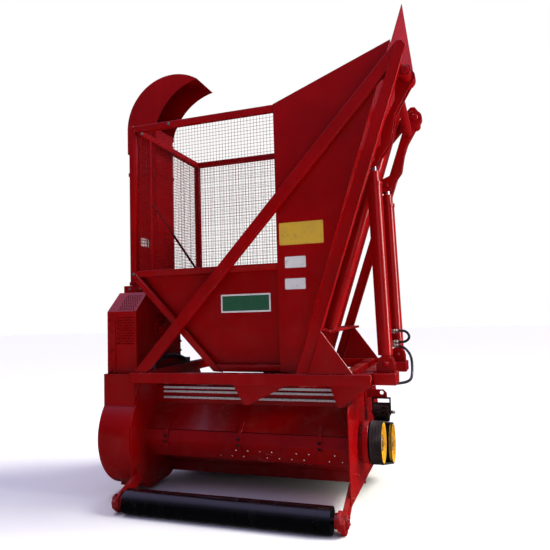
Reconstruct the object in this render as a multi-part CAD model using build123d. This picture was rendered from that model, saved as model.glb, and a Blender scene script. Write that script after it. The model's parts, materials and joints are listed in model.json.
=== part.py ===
from build123d import *
import math
import os

# Rear mounted flail forage harvester with a side tipping hopper. Millimetres, +Z up.
# +X is the machine's right hand side as seen from behind, +Y points to the tractor.
# Building datum: the middle of the rear roller's axis, dropped to the ground. The finished
# model is moved at the end so that its origin is the bottom centre of its bounding box.

# ---- rear roller -------------------------------------------------------------------------
ROLLER_R = 88.0
ROLLER_HALF = 760.0          # half length of the drum
ROLLER_SHAFT_R = 25.0
ROLLER_GAP = 20.0            # drum end to bearing housing
ROLLER_END_GAP = 4.0         # shaft end to the cap on the arm
ROLLER_HOUSING_R = 64.0
ROLLER_HOUSING_NECK = 50.0   # radius of the housing beside the drum
ARM_T = 30.0                 # arm inside the side plate
ARM_LAP = 95.0               # how far the arm runs along the side plate
ARM_HEAD = ((-72.0, 95.0), (-62.0, 48.0), (-15.0, 6.0), (35.0, 6.0), (75.0, 50.0), (150.0, 80.0))
ARM_LIFT = (20.0, 110.0)     # arm's front end above the side plate's lower edge
ARM_CAP_R = 42.0
ARM_CAP_T = 16.0
SHAFT_CLEAR = 0.05           # radial running clearance of every shaft in its bore
STUB_L = 30.0                # shaft's left end beyond the side plate
STUB_ROOM = 60.0             # blind room round a shaft's left end
STUB_CLEAR = 6.0

# ---- side plates and rotor chamber -------------------------------------------------------
ROLLER_INSET = 100.0         # drum end to the outer face of the side plate
SIDE_X = ROLLER_HALF + ROLLER_INSET  # outer face of each side plate
SIDE_T = 10.0
SIDE_REAR_Y = (185.0, 145.0)  # rear edges of the left and of the right plate
SIDE_FRONT_Y = 1620.0
SIDE_BOTTOM_Z = 130.0
LEFT_SHOULDER = ((0.0, 310.0), (165.0, 0.0))  # from the rear edge, and below the base frame
RIGHT_SHOULDER = ((0.0, 170.0), (18.0, 142.0), (42.0, 130.0), (145.0, 130.0), (275.0, 0.0))
SIDE_NOSE_Z = 520.0          # where the front edge starts to slope back
SIDE_NOSE = 180.0            # cropped lower front corner
SIDE_BROW = 240.0            # run of the sloping upper front edge
ROTOR_Y = 1200.0
ROTOR_Z = 310.0
ROTOR_TUBE_R = 84.0
FLAIL_TIP_R = 250.0
FLAIL_ROWS = 4
FLAILS_PER_ROW = 6
FLAIL_W = 70.0
FLAIL_T = 14.0
ROTOR_END_GAP = 12.0         # tube end to side plate
ROTOR_SHAFT_R = 30.0
AUGER_Y = 590.0
AUGER_Z = 453.0
AUGER_TUBE_R = 55.0
AUGER_SHAFT_R = 25.0
HOOD_T = 5.0
FLANGE_R = 155.0             # auger's bearing disc, between its hub and the pulley
FLANGE_HUB_L = 31.0
FLANGE_GAP = 9.0             # disc to the pulley
ROTOR_FLANGE_R = 120.0       # rotor's bearing disc, and the auger's hub
ROTOR_FLANGE_T = 24.0
TROUGH_FOLD = (400.0, 520.0)     # (Y, Z) of the fold below the sloping rear cover
TROUGH_BELLY = (375.0, 440.0)    # rearmost point of the trough
TROUGH_UNDER = (470.0, 300.0)
TROUGH_LIP = (800.0, 165.0)
LIP_DROP = 80.0
SEAM = (600.0, 700.0)            # upper edge of the sloping rear cover
HOOD_TOP_Z = 842.0
HOOD_CREST_Y = 820.0
HOOD_KNEE = (1180.0, 672.0)
HOOD_FRONT = (1520.0, 560.0)
COVER_GAP = 8.0                  # slot between the rear cover and the trough
HOLE_R = 5.5                     # drain holes in the trough
HOLE_PITCH = 96.0
HOLE_ROWS = (0.42, 0.80)         # shares of the drilled face's height
ADJUSTER_PITCH = 625.0
ADJUSTER_MID_X = -27.0
ADJUSTER_W = 26.0
ADJUSTER_T = 16.0
RIB_SIZE = 16.0
RIB_RISE = (37.0, 85.0, 118.0)   # each rib above the seam
RIB_INSET = 60.0

# ---- right hand belt drive ---------------------------------------------------------------
ROTOR_PULLEY_R = 165.0
AUGER_PULLEY_R = 153.0
PULLEY_GAP = 79.0            # side plate to the inner face of both pulleys
PULLEY_X = SIDE_X + PULLEY_GAP
PULLEY_W = 90.0
PULLEY_DISH = 26.0           # depth of the dished outer face
PULLEY_RIM = 16.0
GROOVES = 4
GROOVE_DEPTH = 9.0
BELT_T = 11.0
BELT_W = 17.0
BELT_SEAT = 0.4              # running gap between a belt and its groove floor
IDLER_Y = 880.0
IDLER_R = 72.0
IDLER_OVER = 12.0            # idler beyond the pulleys at each end
IDLER_SHAFT_R = 12.0
YOKE_T = 8.0
YOKE_W = 44.0
YOKE_GAP = 6.0
YOKE_BRIDGE_Z = 728.0        # underside of the yoke's bridge
LUG_H = 62.0
LUG_CORNER = 26.0
LUG_FOOT_W = 120.0
LUG_T = 12.0
LUG_HOLE_R = 15.0
LUG_HOLE_INSET = 40.0        # hole's axis inside the pulleys' outer face
LUG_HOLE_RISE = 37.0

# ---- blower casing on the left -----------------------------------------------------------
CASING_W = 280.0
CASING_X = -SIDE_X - CASING_W  # outer face of the blower casing
CASING_R = 425.0
CASING_Z = 465.0             # centre of the round casing
CASING_FRONT_Y = 1050.0
CASING_TOP_Z = 970.0
CASING_NECK = 250.0          # height of the flat sided upper box
VOLUTE = ((-120.0, -432.0), (200.0, -422.0), (270.0, -390.0))  # lower front of the casing from the auger
VOLUTE_FRONT_Z = 300.0
GUARD_REAR_Y = 300.0
GUARD_FRONT_Y = 1034.0
GUARD_SHOULDER_Z = 1470.0
GUARD_TOP_Z = 1630.0
GUARD_CHAMFER = 175.0
GUARD_GAP = 8.0              # guard's right wall to the side plate's plane
SHEET_T = 4.0
VENT_R = 6.0                 # round vents in the guard
VENT_PITCH = 21.0
VENT_COLUMNS = 8
VENT_ROWS = 11
VENT_EDGE = 30.0             # first vent column to the guard's right wall
VENT_DROP = 50.0             # first vent row below the shoulder
COLLAR_REAR_Y = 640.0
COLLAR_FRONT_Y = 1056.0
COLLAR_X = -1210.0
COLLAR_RIGHT_X = -875.0
COLLAR_TOP_Z = 1700.0
COLLAR_WALL = 12.0
BEARING_Y = 685.0
BEARING_Z = 1320.0
BEARING_R = 118.0
BEARING_HUB_R = 58.0

# ---- rubber arch on the left rail --------------------------------------------------------
ARCH_Y = (430.0, 1035.0)     # middles of the two feet
ARCH_RISE = 62.0             # crown above the feet
ARCH_R = 21.0
ARCH_FOOT = (70.0, 60.0, 50.0)

# ---- base frame and mast -----------------------------------------------------------------
RAIL = 80.0                  # square section of the base rails
RAIL_TOP_Z = 990.0
BASE_REAR_Y = 186.0
BASE_FRONT_Y = 1556.0
BASE_LEFT_X = -SIDE_X
BASE_RIGHT_X = 1007.0
CARRIER_X = 1165.0           # outer face of the cylinder carrier
CARRIER_EDGE = 70.0          # carrier beyond the foot bracket at each side
CARRIER_DROP = 5.0
POST_W = 80.0
POST_D = 60.0
POST_SLOPE = 71.0            # degrees from the ground
POST_FOOT_X = 529.0          # centre of the post at the rail's top
POST_TOP_Z = 3262.0
POST_CROP = 42.0             # height of the cropped corner at the post's head
BRACE_W = 84.0
BRACE_D = 50.0
BRACE_INSET = 22.0           # frame's left end to the brace's upper edge
HANGERS = ((0.0, 100.0, 423.0), (725.0, 790.0, 997.0))  # left end, tip and right end of each
HANGER_TIP = 14.0
HANGER_H = 148.0
HANGER_SETBACK = 22.0
GUSSET_H = 300.0
GUSSET_RUN = 322.0
GUSSET_T = 12.0
STAY_Y = 600.0
STAY_R = 50.0
STAY_GAP = 36.0              # stay to the hopper's right wall
STAY_COLLAR_Z = 1718.0
STAY_COLLAR_L = 62.0
STAY_SLEEVE = 3.0            # wall of the sleeve above the collar
STAY_TOP_Z = 2600.0
CROSS_W = 150.0
CROSS_T = 20.0

# ---- hopper --------------------------------------------------------------------------------
HOPPER_GAP = 6.0             # hopper floor above the base rails
HOPPER_REAR_Y = 268.0
HOPPER_FRONT_Y = 1468.0
HOPPER_LEFT_X = -892.0
HOPPER_CORNER_Z = 1750.0     # left end of the sloping floor
FLOOR_LEFT_X = -182.0
FLOOR_RIGHT_X = 468.0
WALL_LEAN = 18.2             # degrees of the right wall from upright
LIP_TOP_Z = 3575.0
PLATE_TOP_Z = 3310.0
HOPPER_TOP_Z = 2980.0
PLATE_LEFT_X = 352.0         # left edge of the solid part of the end walls
MID_RAIL_Z = 1790.0
HTUBE = 50.0                 # square section of the hopper frame
LOW_PANEL_LAP = 40.0
MESH_PITCH = 26.0
MESH_WIRE = 2.6              # wires of the left window
MESH_END_WIRE = 2.0          # wires of the end windows
MESH_INSET = 20.0            # mesh behind the frame's outer face
LABEL_T = 1.0
PLATE_LABELS = (             # on the tall plate of the rear end wall: left, right, bottom, top
    (374.0, 705.0, 1914.0, 2078.0),
    (412.0, 568.0, 1746.0, 1828.0),
    (408.0, 562.0, 1590.0, 1669.0),
)
PANEL_LABELS = ((-126.0, 275.0, 1435.0, 1573.0),)  # on the panel set inside it
STRUT_X = -829.0             # gas strut inside the left wall
STRUT_TOP = (500.0, 2383.0)
STRUT_FOOT = (1410.0, 1815.0)
STRUT_ROD_R = 5.0
STRUT_BODY_R = 11.0
STRUT_BODY_SHARE = 0.62
WIRE_GAP = 0.3

# ---- hopper hinge, levers and cylinders --------------------------------------------------
PIVOT_X = 1318.0
PIVOT_Z = 3070.0
PIVOT_R = 25.0
HEAD_R = 62.0
EYE_X = 1054.0               # cylinder's upper pin at rest
EYE_Z = 2505.0
FOOT_X = 1088.0              # cylinder's lower pin
FOOT_Z = 1045.0
LEVER_Y = (425.0, 1275.0)    # planes of the two cylinders
LEVER_GAP = 60.0             # between the cheeks of a lever or a foot bracket
CHEEK_T = 12.0
PIN_R = 20.0
EYE_R = 44.0
EYE_W = 56.0
LEVER_TAIL = 65.0            # lever's lower edge at the wall, below the upper pin
LEVER_LAP = 40.0             # lever's upper edge at the wall, above the upper pin
LEVER_FROM_EYE = ((26.0, -50.0), (60.0, 10.0), (136.0, 108.0))
LEVER_FROM_HINGE = ((-88.0, -250.0), (30.0, -54.0), (-30.0, 54.0))
LEVER_NAPE = ((-49.0, 50.0), (-84.0, -72.0))  # edge facing the wall, from the head down
LEVER_BACK = ((-86.0, -146.0), (-190.0, -355.0))
LEVER_HEEL = (64.0, 95.0)    # end of that edge, from the upper pin
BOSS_L = 10.0                # pin boss outside each cheek
TIE_R = 32.0
TIE_FROM_HINGE = (-54.0, -136.0)
HINGE_LUG_R = 40.0
HINGE_LUG_T = 16.0
HINGE_GAP = 6.0              # hinge boss to the lever's head
HINGE_CLEAR = 25.0           # lug to the hopper's right wall
HINGE_END = 8.0
BRACKET_R = 60.0             # round head of a foot bracket
BRACKET_FOOT = 64.0          # half width of its foot
BRACKET_PIN_END = 8.0
BARREL_R = 52.5
BARREL_BORE_R = 40.0
BARREL_FOOT = 60.0           # from the lower pin to the barrel's lower end
BARREL_FLOOR = 30.0
BARREL_RIM = 26.0
BARREL_RIM_T = 5.0
SHANK_H = 60.0               # block between the foot eye and the barrel
SHANK_LAP = 2.0
BARREL_TOP = 1300.0          # from the lower pin along the barrel
GLAND_R = 44.0
GLAND_L = 80.0
ROD_R = 25.0
PISTON_AT = 130.0            # inner end of the rod above the lower pin at rest
PISTON_L = 60.0

# ---- discharge duct ----------------------------------------------------------------------
DUCT_RIGHT_X = -905.0
DUCT_W = 276.0
DUCT_REAR_Y = 700.0
DUCT_D = 310.0
DUCT_T = 4.0
BAND_T = 6.0
BAND_H = 30.0
BAND_DROPS = (420.0, 115.0)  # upper bands below the duct's top
SPACER_END = 40.0            # duct's edge to the spacers to the hopper
SPACER_INSET = 4.0
DUCT_GAP = 6.0               # duct foot above the collar
DUCT_TOP_Z = 3120.0
HOOD_BEND_R = 456.0          # outer radius of the gooseneck
HOOD_SWEEP = 124.0           # degrees turned by the gooseneck
CHEEK_BULGE = (175.0, 265.0)     # middle of the cheek's inner edge from its foot
SKIRT_DROP = 215.0

# ---- tractor hitch -----------------------------------------------------------------------
HITCH_Y = 1700.0
LOWER_PIN_Z = 480.0
LOWER_PIN_HALF = 412.5       # half the spacing of the lower hitch points
LOWER_PIN_R = 14.0
LOWER_PIN_L = 90.0
LOWER_PLATE_GAP = 70.0       # between the two plates that carry a lower pin
BEAM_D = 80.0
BEAM_H = 80.0
BEAM_SETBACK = 10.0
MAST_HEIGHT = 610.0          # upper hitch point above the lower ones
EAR_X = 45.0
UPPER_PIN_R = 12.7
HITCH_PLATE_T = 16.0
GEARBOX = (260.0, 240.0, 210.0)
GEARBOX_Y = 1340.0
GEARBOX_Z = 790.0
PTO_R = 17.5
PTO_L = 80.0
CURTAIN_T = 10.0
CURTAIN_FLAPS = 8
CURTAIN_GAP = 4.0
CURTAIN_BOTTOM_Z = 140.0
COVER_W = 95.0               # left drive cover
COVER_ROTOR_R = 115.0
COVER_TOP_R = 120.0
SHAFT_DROP = 40.0            # cross shaft below the gearbox's middle
SHAFT_TUBE_R = 36.0
SKID_FRONT_Y = 1620.0
SKID_REAR_Y = 1240.0
SKID_W = 60.0
SKID_T = 12.0
SKID_RAMP = 110.0            # run and rise of the turned up toe
SKID_INSET = 90.0            # skid's outer side to the side plate's outer face
SKID_KEEL = ((0.0, 45.0), (140.0, 100.0), (368.0, 125.0))  # keel's upper edge from its rear end
SKID_LINK = (1470.0, 1510.0) # rear and front of the bar from the keel to the side plate
SKID_LINK_Z = (50.0, 232.0)


# ---- small building helpers --------------------------------------------------------------
def block(x0, x1, y0, y1, z0, z1):
    """Box between two corners."""
    middle = Pos((x0 + x1) / 2, (y0 + y1) / 2, (z0 + z1) / 2)
    return middle * Box(abs(x1 - x0), abs(y1 - y0), abs(z1 - z0))


def prism_x(points, x0, x1):
    """Polygon of (y, z) points, drawn out along X."""
    line = Polyline(*[(x0, y, z) for y, z in points], close=True)
    return extrude(make_face(line), amount=x1 - x0, dir=(1, 0, 0))


def prism_y(points, y0, y1):
    """Polygon of (x, z) points, drawn out along Y."""
    line = Polyline(*[(x, y0, z) for x, z in points], close=True)
    return extrude(make_face(line), amount=y1 - y0, dir=(0, 1, 0))


def round_x(x0, x1, y, z, r):
    """Cylinder along X."""
    return Pos((x0 + x1) / 2, y, z) * Rot(0, 90, 0) * Cylinder(r, abs(x1 - x0))


def round_y(x, y0, y1, z, r):
    """Cylinder along Y."""
    return Pos(x, (y0 + y1) / 2, z) * Rot(90, 0, 0) * Cylinder(r, abs(y1 - y0))


def bar_y(a, b, width, y0, y1):
    """Bar from a to b, both (x, z), square ended, its depth running along Y."""
    dx, dz = b[0] - a[0], b[1] - a[1]
    length = math.hypot(dx, dz)
    nx, nz = -dz / length * width / 2, dx / length * width / 2
    corners = [(a[0] + nx, a[1] + nz), (b[0] + nx, b[1] + nz), (b[0] - nx, b[1] - nz), (a[0] - nx, a[1] - nz)]
    return prism_y(corners, y0, y1)


def offset_path(points, t):
    """The same open path moved t to its left, with mitred corners."""
    moved = []
    for i, (px, pz) in enumerate(points):
        normals = []
        for j in (i - 1, i):
            if 0 <= j < len(points) - 1:
                dx = points[j + 1][0] - points[j][0]
                dz = points[j + 1][1] - points[j][1]
                size = math.hypot(dx, dz)
                normals.append((-dz / size, dx / size))
        nx = sum(n[0] for n in normals) / len(normals)
        nz = sum(n[1] for n in normals) / len(normals)
        scale = t / (nx * nx + nz * nz)
        moved.append((px + nx * scale, pz + nz * scale))
    return moved


def bent_sheet(points, t):
    """Closed outline of a folded sheet: the path and its offset."""
    return list(points) + offset_path(points, t)[::-1]


def tilt(solid, x, z, degrees):
    """Turn a solid about the line along Y through (x, z); positive carries +Z to +X."""
    return Pos(x, 0, z) * Rot(0, degrees, 0) * Pos(-x, 0, -z) * solid


def fuse(solids):
    """One shape from a list."""
    return solids[0] + solids[1:] if len(solids) > 1 else solids[0]


# ---- sizes that follow from the ones above -----------------------------------------------
FLOOR_Z = RAIL_TOP_Z + HOPPER_GAP
WALL_SLOPE = math.tan(math.radians(WALL_LEAN))
RAIL_BOTTOM_Z = RAIL_TOP_Z - RAIL
NEAR_POST_Y = BASE_REAR_Y + (RAIL - POST_D) / 2
FAR_POST_Y = BASE_FRONT_Y - RAIL + (RAIL - POST_D) / 2
DUCT_LEFT_X = DUCT_RIGHT_X - DUCT_W
DUCT_FRONT_Y = DUCT_REAR_Y + DUCT_D
CYL_LEAN = math.degrees(math.atan2(EYE_X - FOOT_X, EYE_Z - FOOT_Z))


def cover_foot():
    """Lower edge (y, z) of the sloping rear cover, one slot above the trough's fold."""
    run = (SEAM[0] - TROUGH_FOLD[0], SEAM[1] - TROUGH_FOLD[1])
    share = COVER_GAP / math.hypot(*run)
    return (TROUGH_FOLD[0] + share * run[0], TROUGH_FOLD[1] + share * run[1])


def wall_x(z):
    """X of the hopper's right wall, outer face, at height z."""
    return FLOOR_RIGHT_X + (z - FLOOR_Z) * WALL_SLOPE


def stay_x(z):
    """X of the round stay's axis at height z."""
    return wall_x(z) + (STAY_R + STAY_GAP) / math.cos(math.radians(WALL_LEAN))


def post_x(z):
    """X of the mast posts' centre line at height z."""
    return POST_FOOT_X + (z - RAIL_TOP_Z) / math.tan(math.radians(POST_SLOPE))


# ---- moving rollers and rotors -----------------------------------------------------------
def rear_roller():
    drum = round_x(-ROLLER_HALF, ROLLER_HALF, 0, ROLLER_R, ROLLER_R)
    reach = SIDE_X - SIDE_T - ROLLER_END_GAP
    return drum + round_x(-reach, reach, 0, ROLLER_R, ROLLER_SHAFT_R)


def flail_rotor():
    half = SIDE_X - SIDE_T - ROTOR_END_GAP
    tube = round_x(-half, half, 0, 0, ROTOR_TUBE_R)
    stub = round_x(-SIDE_X - STUB_L, PULLEY_X + PULLEY_W - PULLEY_DISH, 0, 0, ROTOR_SHAFT_R)
    pitch = 2 * (half - FLAIL_W) / (FLAILS_PER_ROW * 2 - 1)
    flails = []
    for row in range(FLAIL_ROWS):
        start = -half + FLAIL_W + pitch * (row % 2)
        for k in range(FLAILS_PER_ROW):
            x = start + 2 * pitch * k
            blade = block(x - FLAIL_W / 2, x + FLAIL_W / 2, -FLAIL_T / 2, FLAIL_T / 2, ROTOR_TUBE_R - 10, FLAIL_TIP_R)
            flails.append(Rot(360 / FLAIL_ROWS * row, 0, 0) * blade)
    return Pos(0, ROTOR_Y, ROTOR_Z) * (tube + stub + flails)


def auger_shaft():
    half = SIDE_X - SIDE_T - ROTOR_END_GAP
    tube = round_x(-half, half, AUGER_Y, AUGER_Z, AUGER_TUBE_R)
    end = PULLEY_X + PULLEY_W - PULLEY_DISH
    return tube + round_x(-SIDE_X - STUB_L, end, AUGER_Y, AUGER_Z, AUGER_SHAFT_R)


def grooved_pulley(y, z, bore_r, radius):
    body = round_x(PULLEY_X, PULLEY_X + PULLEY_W, y, z, radius)
    land = (PULLEY_W - GROOVES * BELT_W) / (GROOVES + 1)
    cuts = []
    for k in range(GROOVES):
        x = PULLEY_X + land + k * (land + BELT_W)
        ring = round_x(x, x + BELT_W, y, z, radius + 1)
        cuts.append(ring - round_x(x - 1, x + BELT_W + 1, y, z, radius - GROOVE_DEPTH))
    outer = PULLEY_X + PULLEY_W
    dish = round_x(outer - PULLEY_DISH, outer + 1, y, z, radius - PULLEY_RIM)
    bore = round_x(PULLEY_X - 1, outer + 1, y, z, bore_r)
    return body - cuts - dish - bore


def belt_loop(x):
    """One belt: the hull of the two pulleys' groove floors, as a closed strip."""
    rings = ((AUGER_Y, AUGER_Z, AUGER_PULLEY_R - GROOVE_DEPTH), (ROTOR_Y, ROTOR_Z, ROTOR_PULLEY_R - GROOVE_DEPTH))
    faces = []
    for grow in (BELT_SEAT + BELT_T, BELT_SEAT):
        circles = []
        for y, z, r in rings:
            circles.append(Pos(y, z) * Edge.make_circle(r + grow))
        faces.append(make_hull(circles))
    strip = extrude(faces[0] - faces[1], amount=BELT_W - 1)
    return Pos(x, 0, 0) * Rot(0, 90, 0) * Rot(0, 0, 90) * strip


def drive_belts():
    land = (PULLEY_W - GROOVES * BELT_W) / (GROOVES + 1)
    return [belt_loop(PULLEY_X + land + k * (land + BELT_W) + 0.5) for k in range(GROOVES)]


def idler_z():
    """Height of the idler's axis: it rests on the back of the belts' upper strand."""
    run, fall = ROTOR_Y - AUGER_Y, ROTOR_Z - AUGER_Z
    tilt_angle = math.atan2(fall, run) + math.asin((ROTOR_PULLEY_R - AUGER_PULLEY_R) / math.hypot(run, fall))
    reach = AUGER_PULLEY_R - GROOVE_DEPTH + 2 * BELT_SEAT + BELT_T + IDLER_R
    y = AUGER_Y - reach * math.sin(tilt_angle)
    z = AUGER_Z + reach * math.cos(tilt_angle)
    return z + (IDLER_Y - y) * math.tan(tilt_angle)


def idler_roller():
    z = idler_z()
    x0, x1 = PULLEY_X - IDLER_OVER, PULLEY_X + PULLEY_W + IDLER_OVER
    tube = round_x(x0, x1, IDLER_Y, z, IDLER_R)
    return tube - round_x(x0 - 1, x1 + 1, IDLER_Y, z, IDLER_SHAFT_R + SHAFT_CLEAR)


# ---- chassis -----------------------------------------------------------------------------
def side_plate(side):
    """Side plate with its bearing holes and, on the right, the round bearing discs."""
    rear = SIDE_REAR_Y[side > 0]
    shoulder = RIGHT_SHOULDER if side > 0 else LEFT_SHOULDER
    profile = [
        (rear, SIDE_BOTTOM_Z),
        (SIDE_FRONT_Y - SIDE_NOSE, SIDE_BOTTOM_Z),
        (SIDE_FRONT_Y, SIDE_NOSE_Z - SIDE_NOSE),
        (SIDE_FRONT_Y, SIDE_NOSE_Z),
        (SIDE_FRONT_Y - SIDE_BROW, RAIL_BOTTOM_Z),
    ]
    profile += [(rear + run, RAIL_BOTTOM_Z - drop) for run, drop in reversed(shoulder)]
    inner, outer = sorted((side * (SIDE_X - SIDE_T), side * SIDE_X))
    plate = prism_x(profile, inner, outer)
    if side > 0:
        plate += round_x(SIDE_X, SIDE_X + ROTOR_FLANGE_T, ROTOR_Y, ROTOR_Z, ROTOR_FLANGE_R)
        plate += round_x(SIDE_X, SIDE_X + FLANGE_HUB_L, AUGER_Y, AUGER_Z, ROTOR_FLANGE_R)
        plate += round_x(SIDE_X + FLANGE_HUB_L, PULLEY_X - FLANGE_GAP, AUGER_Y, AUGER_Z, FLANGE_R)
    reach = PULLEY_GAP + SIDE_T
    x0, x1 = side * SIDE_X - reach, side * SIDE_X + reach
    for y, z, r in ((ROTOR_Y, ROTOR_Z, ROTOR_SHAFT_R), (AUGER_Y, AUGER_Z, AUGER_SHAFT_R)):
        plate -= round_x(x0, x1, y, z, r + SHAFT_CLEAR)
    return plate


def rotor_hood():
    """Folded cover over the auger and the rotor, open at the bottom front."""
    inside = SIDE_X - SIDE_T
    path = [cover_foot(), SEAM, (SEAM[0], HOOD_TOP_Z), (HOOD_CREST_Y, HOOD_TOP_Z), HOOD_KNEE, HOOD_FRONT]
    return prism_x(bent_sheet(path, -HOOD_T), -inside, inside)


def auger_trough():
    """Trough below the auger, with its drilled under side and its turned down lip."""
    inside = SIDE_X - SIDE_T
    lip = (TROUGH_LIP[0], TROUGH_LIP[1] - LIP_DROP)
    path = [TROUGH_FOLD, TROUGH_BELLY, TROUGH_UNDER, TROUGH_LIP, lip]
    sheet = prism_x(bent_sheet(path, HOOD_T), -inside, inside)
    run = (TROUGH_UNDER[0] - TROUGH_BELLY[0], TROUGH_UNDER[1] - TROUGH_BELLY[1])
    steep = math.degrees(math.atan2(run[0], -run[1]))
    drills = []
    for row, share in enumerate(HOLE_ROWS):
        y = TROUGH_BELLY[0] + share * run[0]
        z = TROUGH_BELLY[1] + share * run[1]
        count = int((2 * inside - HOLE_PITCH) / HOLE_PITCH)
        start = -HOLE_PITCH * (count - 1) / 2 + (row - 0.5) * HOLE_PITCH / 2
        for k in range(count):
            drill = Rot(90, 0, 0) * Cylinder(HOLE_R, 4 * HOOD_T)
            drills.append(Pos(start + k * HOLE_PITCH, y, z) * Rot(steep, 0, 0) * drill)
    return sheet - drills


def hood_ribs():
    """Three bright edged bars along the step of the hood."""
    reach = SIDE_X - SIDE_T - RIB_INSET
    y = SEAM[0] - RIB_SIZE
    return [block(-reach, reach, y, SEAM[0], SEAM[1] + rise, SEAM[1] + rise + RIB_SIZE) for rise in RIB_RISE]


def trough_adjusters():
    """Three straps over the slot between the rear cover and the trough."""
    share = 0.33
    foot = cover_foot()
    top = (foot[0] + share * (SEAM[0] - foot[0]), foot[1] + share * (SEAM[1] - foot[1]))
    low_y = TROUGH_BELLY[0] + share * (TROUGH_UNDER[0] - TROUGH_BELLY[0])
    low_z = TROUGH_BELLY[1] + share * (TROUGH_UNDER[1] - TROUGH_BELLY[1])
    outline = bent_sheet([top, foot, TROUGH_FOLD, TROUGH_BELLY, (low_y, low_z)], -ADJUSTER_T)
    straps = []
    for k in (-1, 0, 1):
        x = ADJUSTER_MID_X + k * ADJUSTER_PITCH
        straps.append(prism_x(outline, x - ADJUSTER_W / 2, x + ADJUSTER_W / 2))
    return straps


def base_frame():
    """Rectangular base of the hopper: butted square tubes and one carrier for each cylinder."""
    y0, y1 = BASE_REAR_Y, BASE_FRONT_Y
    z0, z1 = RAIL_BOTTOM_Z, RAIL_TOP_Z
    tubes = [
        block(BASE_LEFT_X, BASE_RIGHT_X, y0, y0 + RAIL, z0, z1),
        block(BASE_LEFT_X, BASE_RIGHT_X, y1 - RAIL, y1, z0, z1),
    ]
    for x in (BASE_LEFT_X, SIDE_X - RAIL, BASE_RIGHT_X - RAIL):
        tubes.append(block(x, x + RAIL, y0 + RAIL, y1 - RAIL, z0, z1))
    reach = LEVER_GAP / 2 + CHEEK_T + CARRIER_EDGE
    for y in LEVER_Y:
        tubes.append(block(BASE_RIGHT_X, CARRIER_X, y - reach, y + reach, z0 - CARRIER_DROP, z1 - CARRIER_DROP))
    return tubes


def rail_gussets():
    """Hanging triangles below the rear rail."""
    z = RAIL_BOTTOM_Z
    y = BASE_REAR_Y + HANGER_SETBACK
    plates = []
    for left, tip, right in HANGERS:
        outline = [(left, z), (tip - HANGER_TIP, z - HANGER_H), (tip + HANGER_TIP, z - HANGER_H), (right, z)]
        plates.append(prism_y(outline, y, y + GUSSET_T))
    return plates


def hinge_sides():
    """For each hinge: the post's inner face, the way inward along Y, and its lever's middle."""
    return ((NEAR_POST_Y + POST_D, 1, LEVER_Y[0]), (FAR_POST_Y, -1, LEVER_Y[1]))


def mast():
    """Two leaning posts with their gussets, hinge lugs and the cross member."""
    half = POST_W / 2 / math.cos(math.radians(90 - POST_SLOPE))
    cross_z = RAIL_TOP_Z + GUSSET_H
    low, high = PIVOT_Z - HINGE_LUG_R, PIVOT_Z + HINGE_LUG_R
    members = []
    for y in (NEAR_POST_Y, FAR_POST_Y):
        outline = [
            (post_x(RAIL_TOP_Z) - half, RAIL_TOP_Z),
            (post_x(RAIL_TOP_Z) + half, RAIL_TOP_Z),
            (post_x(POST_TOP_Z - POST_CROP) + half, POST_TOP_Z - POST_CROP),
            (post_x(POST_TOP_Z), POST_TOP_Z),
            (post_x(POST_TOP_Z) - half, POST_TOP_Z),
        ]
        members.append(prism_y(outline, y, y + POST_D))
        foot = post_x(RAIL_TOP_Z) + half
        gusset = [(foot, RAIL_TOP_Z), (foot + GUSSET_RUN, RAIL_TOP_Z), (post_x(cross_z) + half, cross_z)]
        members.append(prism_y(gusset, y, y + GUSSET_T))
    for y, inward, lever_y in hinge_sides():
        back = y + inward * HINGE_LUG_T
        web = prism_y(
            [(wall_x(low) + HINGE_CLEAR, low), (PIVOT_X, low), (PIVOT_X, high), (wall_x(high) + HINGE_CLEAR, high)],
            *sorted((y, back)),
        )
        head = lever_y - inward * (LEVER_GAP / 2 + CHEEK_T + HINGE_GAP)
        lug = web + round_y(PIVOT_X, *sorted((y, head)), PIVOT_Z, HINGE_LUG_R)
        members.append(lug - round_y(PIVOT_X, *sorted((y - inward, head + inward)), PIVOT_Z, PIVOT_R))
    x = stay_x(cross_z)
    members.append(block(x - CROSS_W / 2, x + CROSS_W / 2, NEAR_POST_Y + POST_D, FAR_POST_Y, cross_z - CROSS_T, cross_z))
    return members


def hinge_pins():
    """One pin through each lug of the mast and the lever's head beside it."""
    pins = []
    for y, inward, lever_y in hinge_sides():
        end = lever_y + inward * (LEVER_GAP / 2 + CHEEK_T + HINGE_END)
        pins.append(round_y(PIVOT_X, *sorted((y - inward * HINGE_END, end)), PIVOT_Z, PIVOT_R))
    return pins


def braces():
    """Long diagonal from the frame's left corner to the head of each post."""
    half = POST_W / 2 / math.cos(math.radians(90 - POST_SLOPE))
    upper = (BASE_LEFT_X + BRACE_INSET, RAIL_TOP_Z)
    head = (post_x(POST_TOP_Z) - half, POST_TOP_Z)
    rise = math.atan2(head[1] - upper[1], head[0] - upper[0])
    foot = upper[0] + BRACE_W / math.sin(rise)
    lean = math.radians(POST_SLOPE)
    share = BRACE_W * math.sin(math.radians(90) - rise + rise) / math.sin(lean - rise)
    lower_head = (head[0] - share * math.cos(lean), head[1] - share * math.sin(lean))
    outline = [upper, (foot, RAIL_TOP_Z), lower_head, head]
    inset = (POST_D - BRACE_D) / 2
    return [prism_y(outline, y + inset, y + inset + BRACE_D) for y in (NEAR_POST_Y, FAR_POST_Y)]


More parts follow.
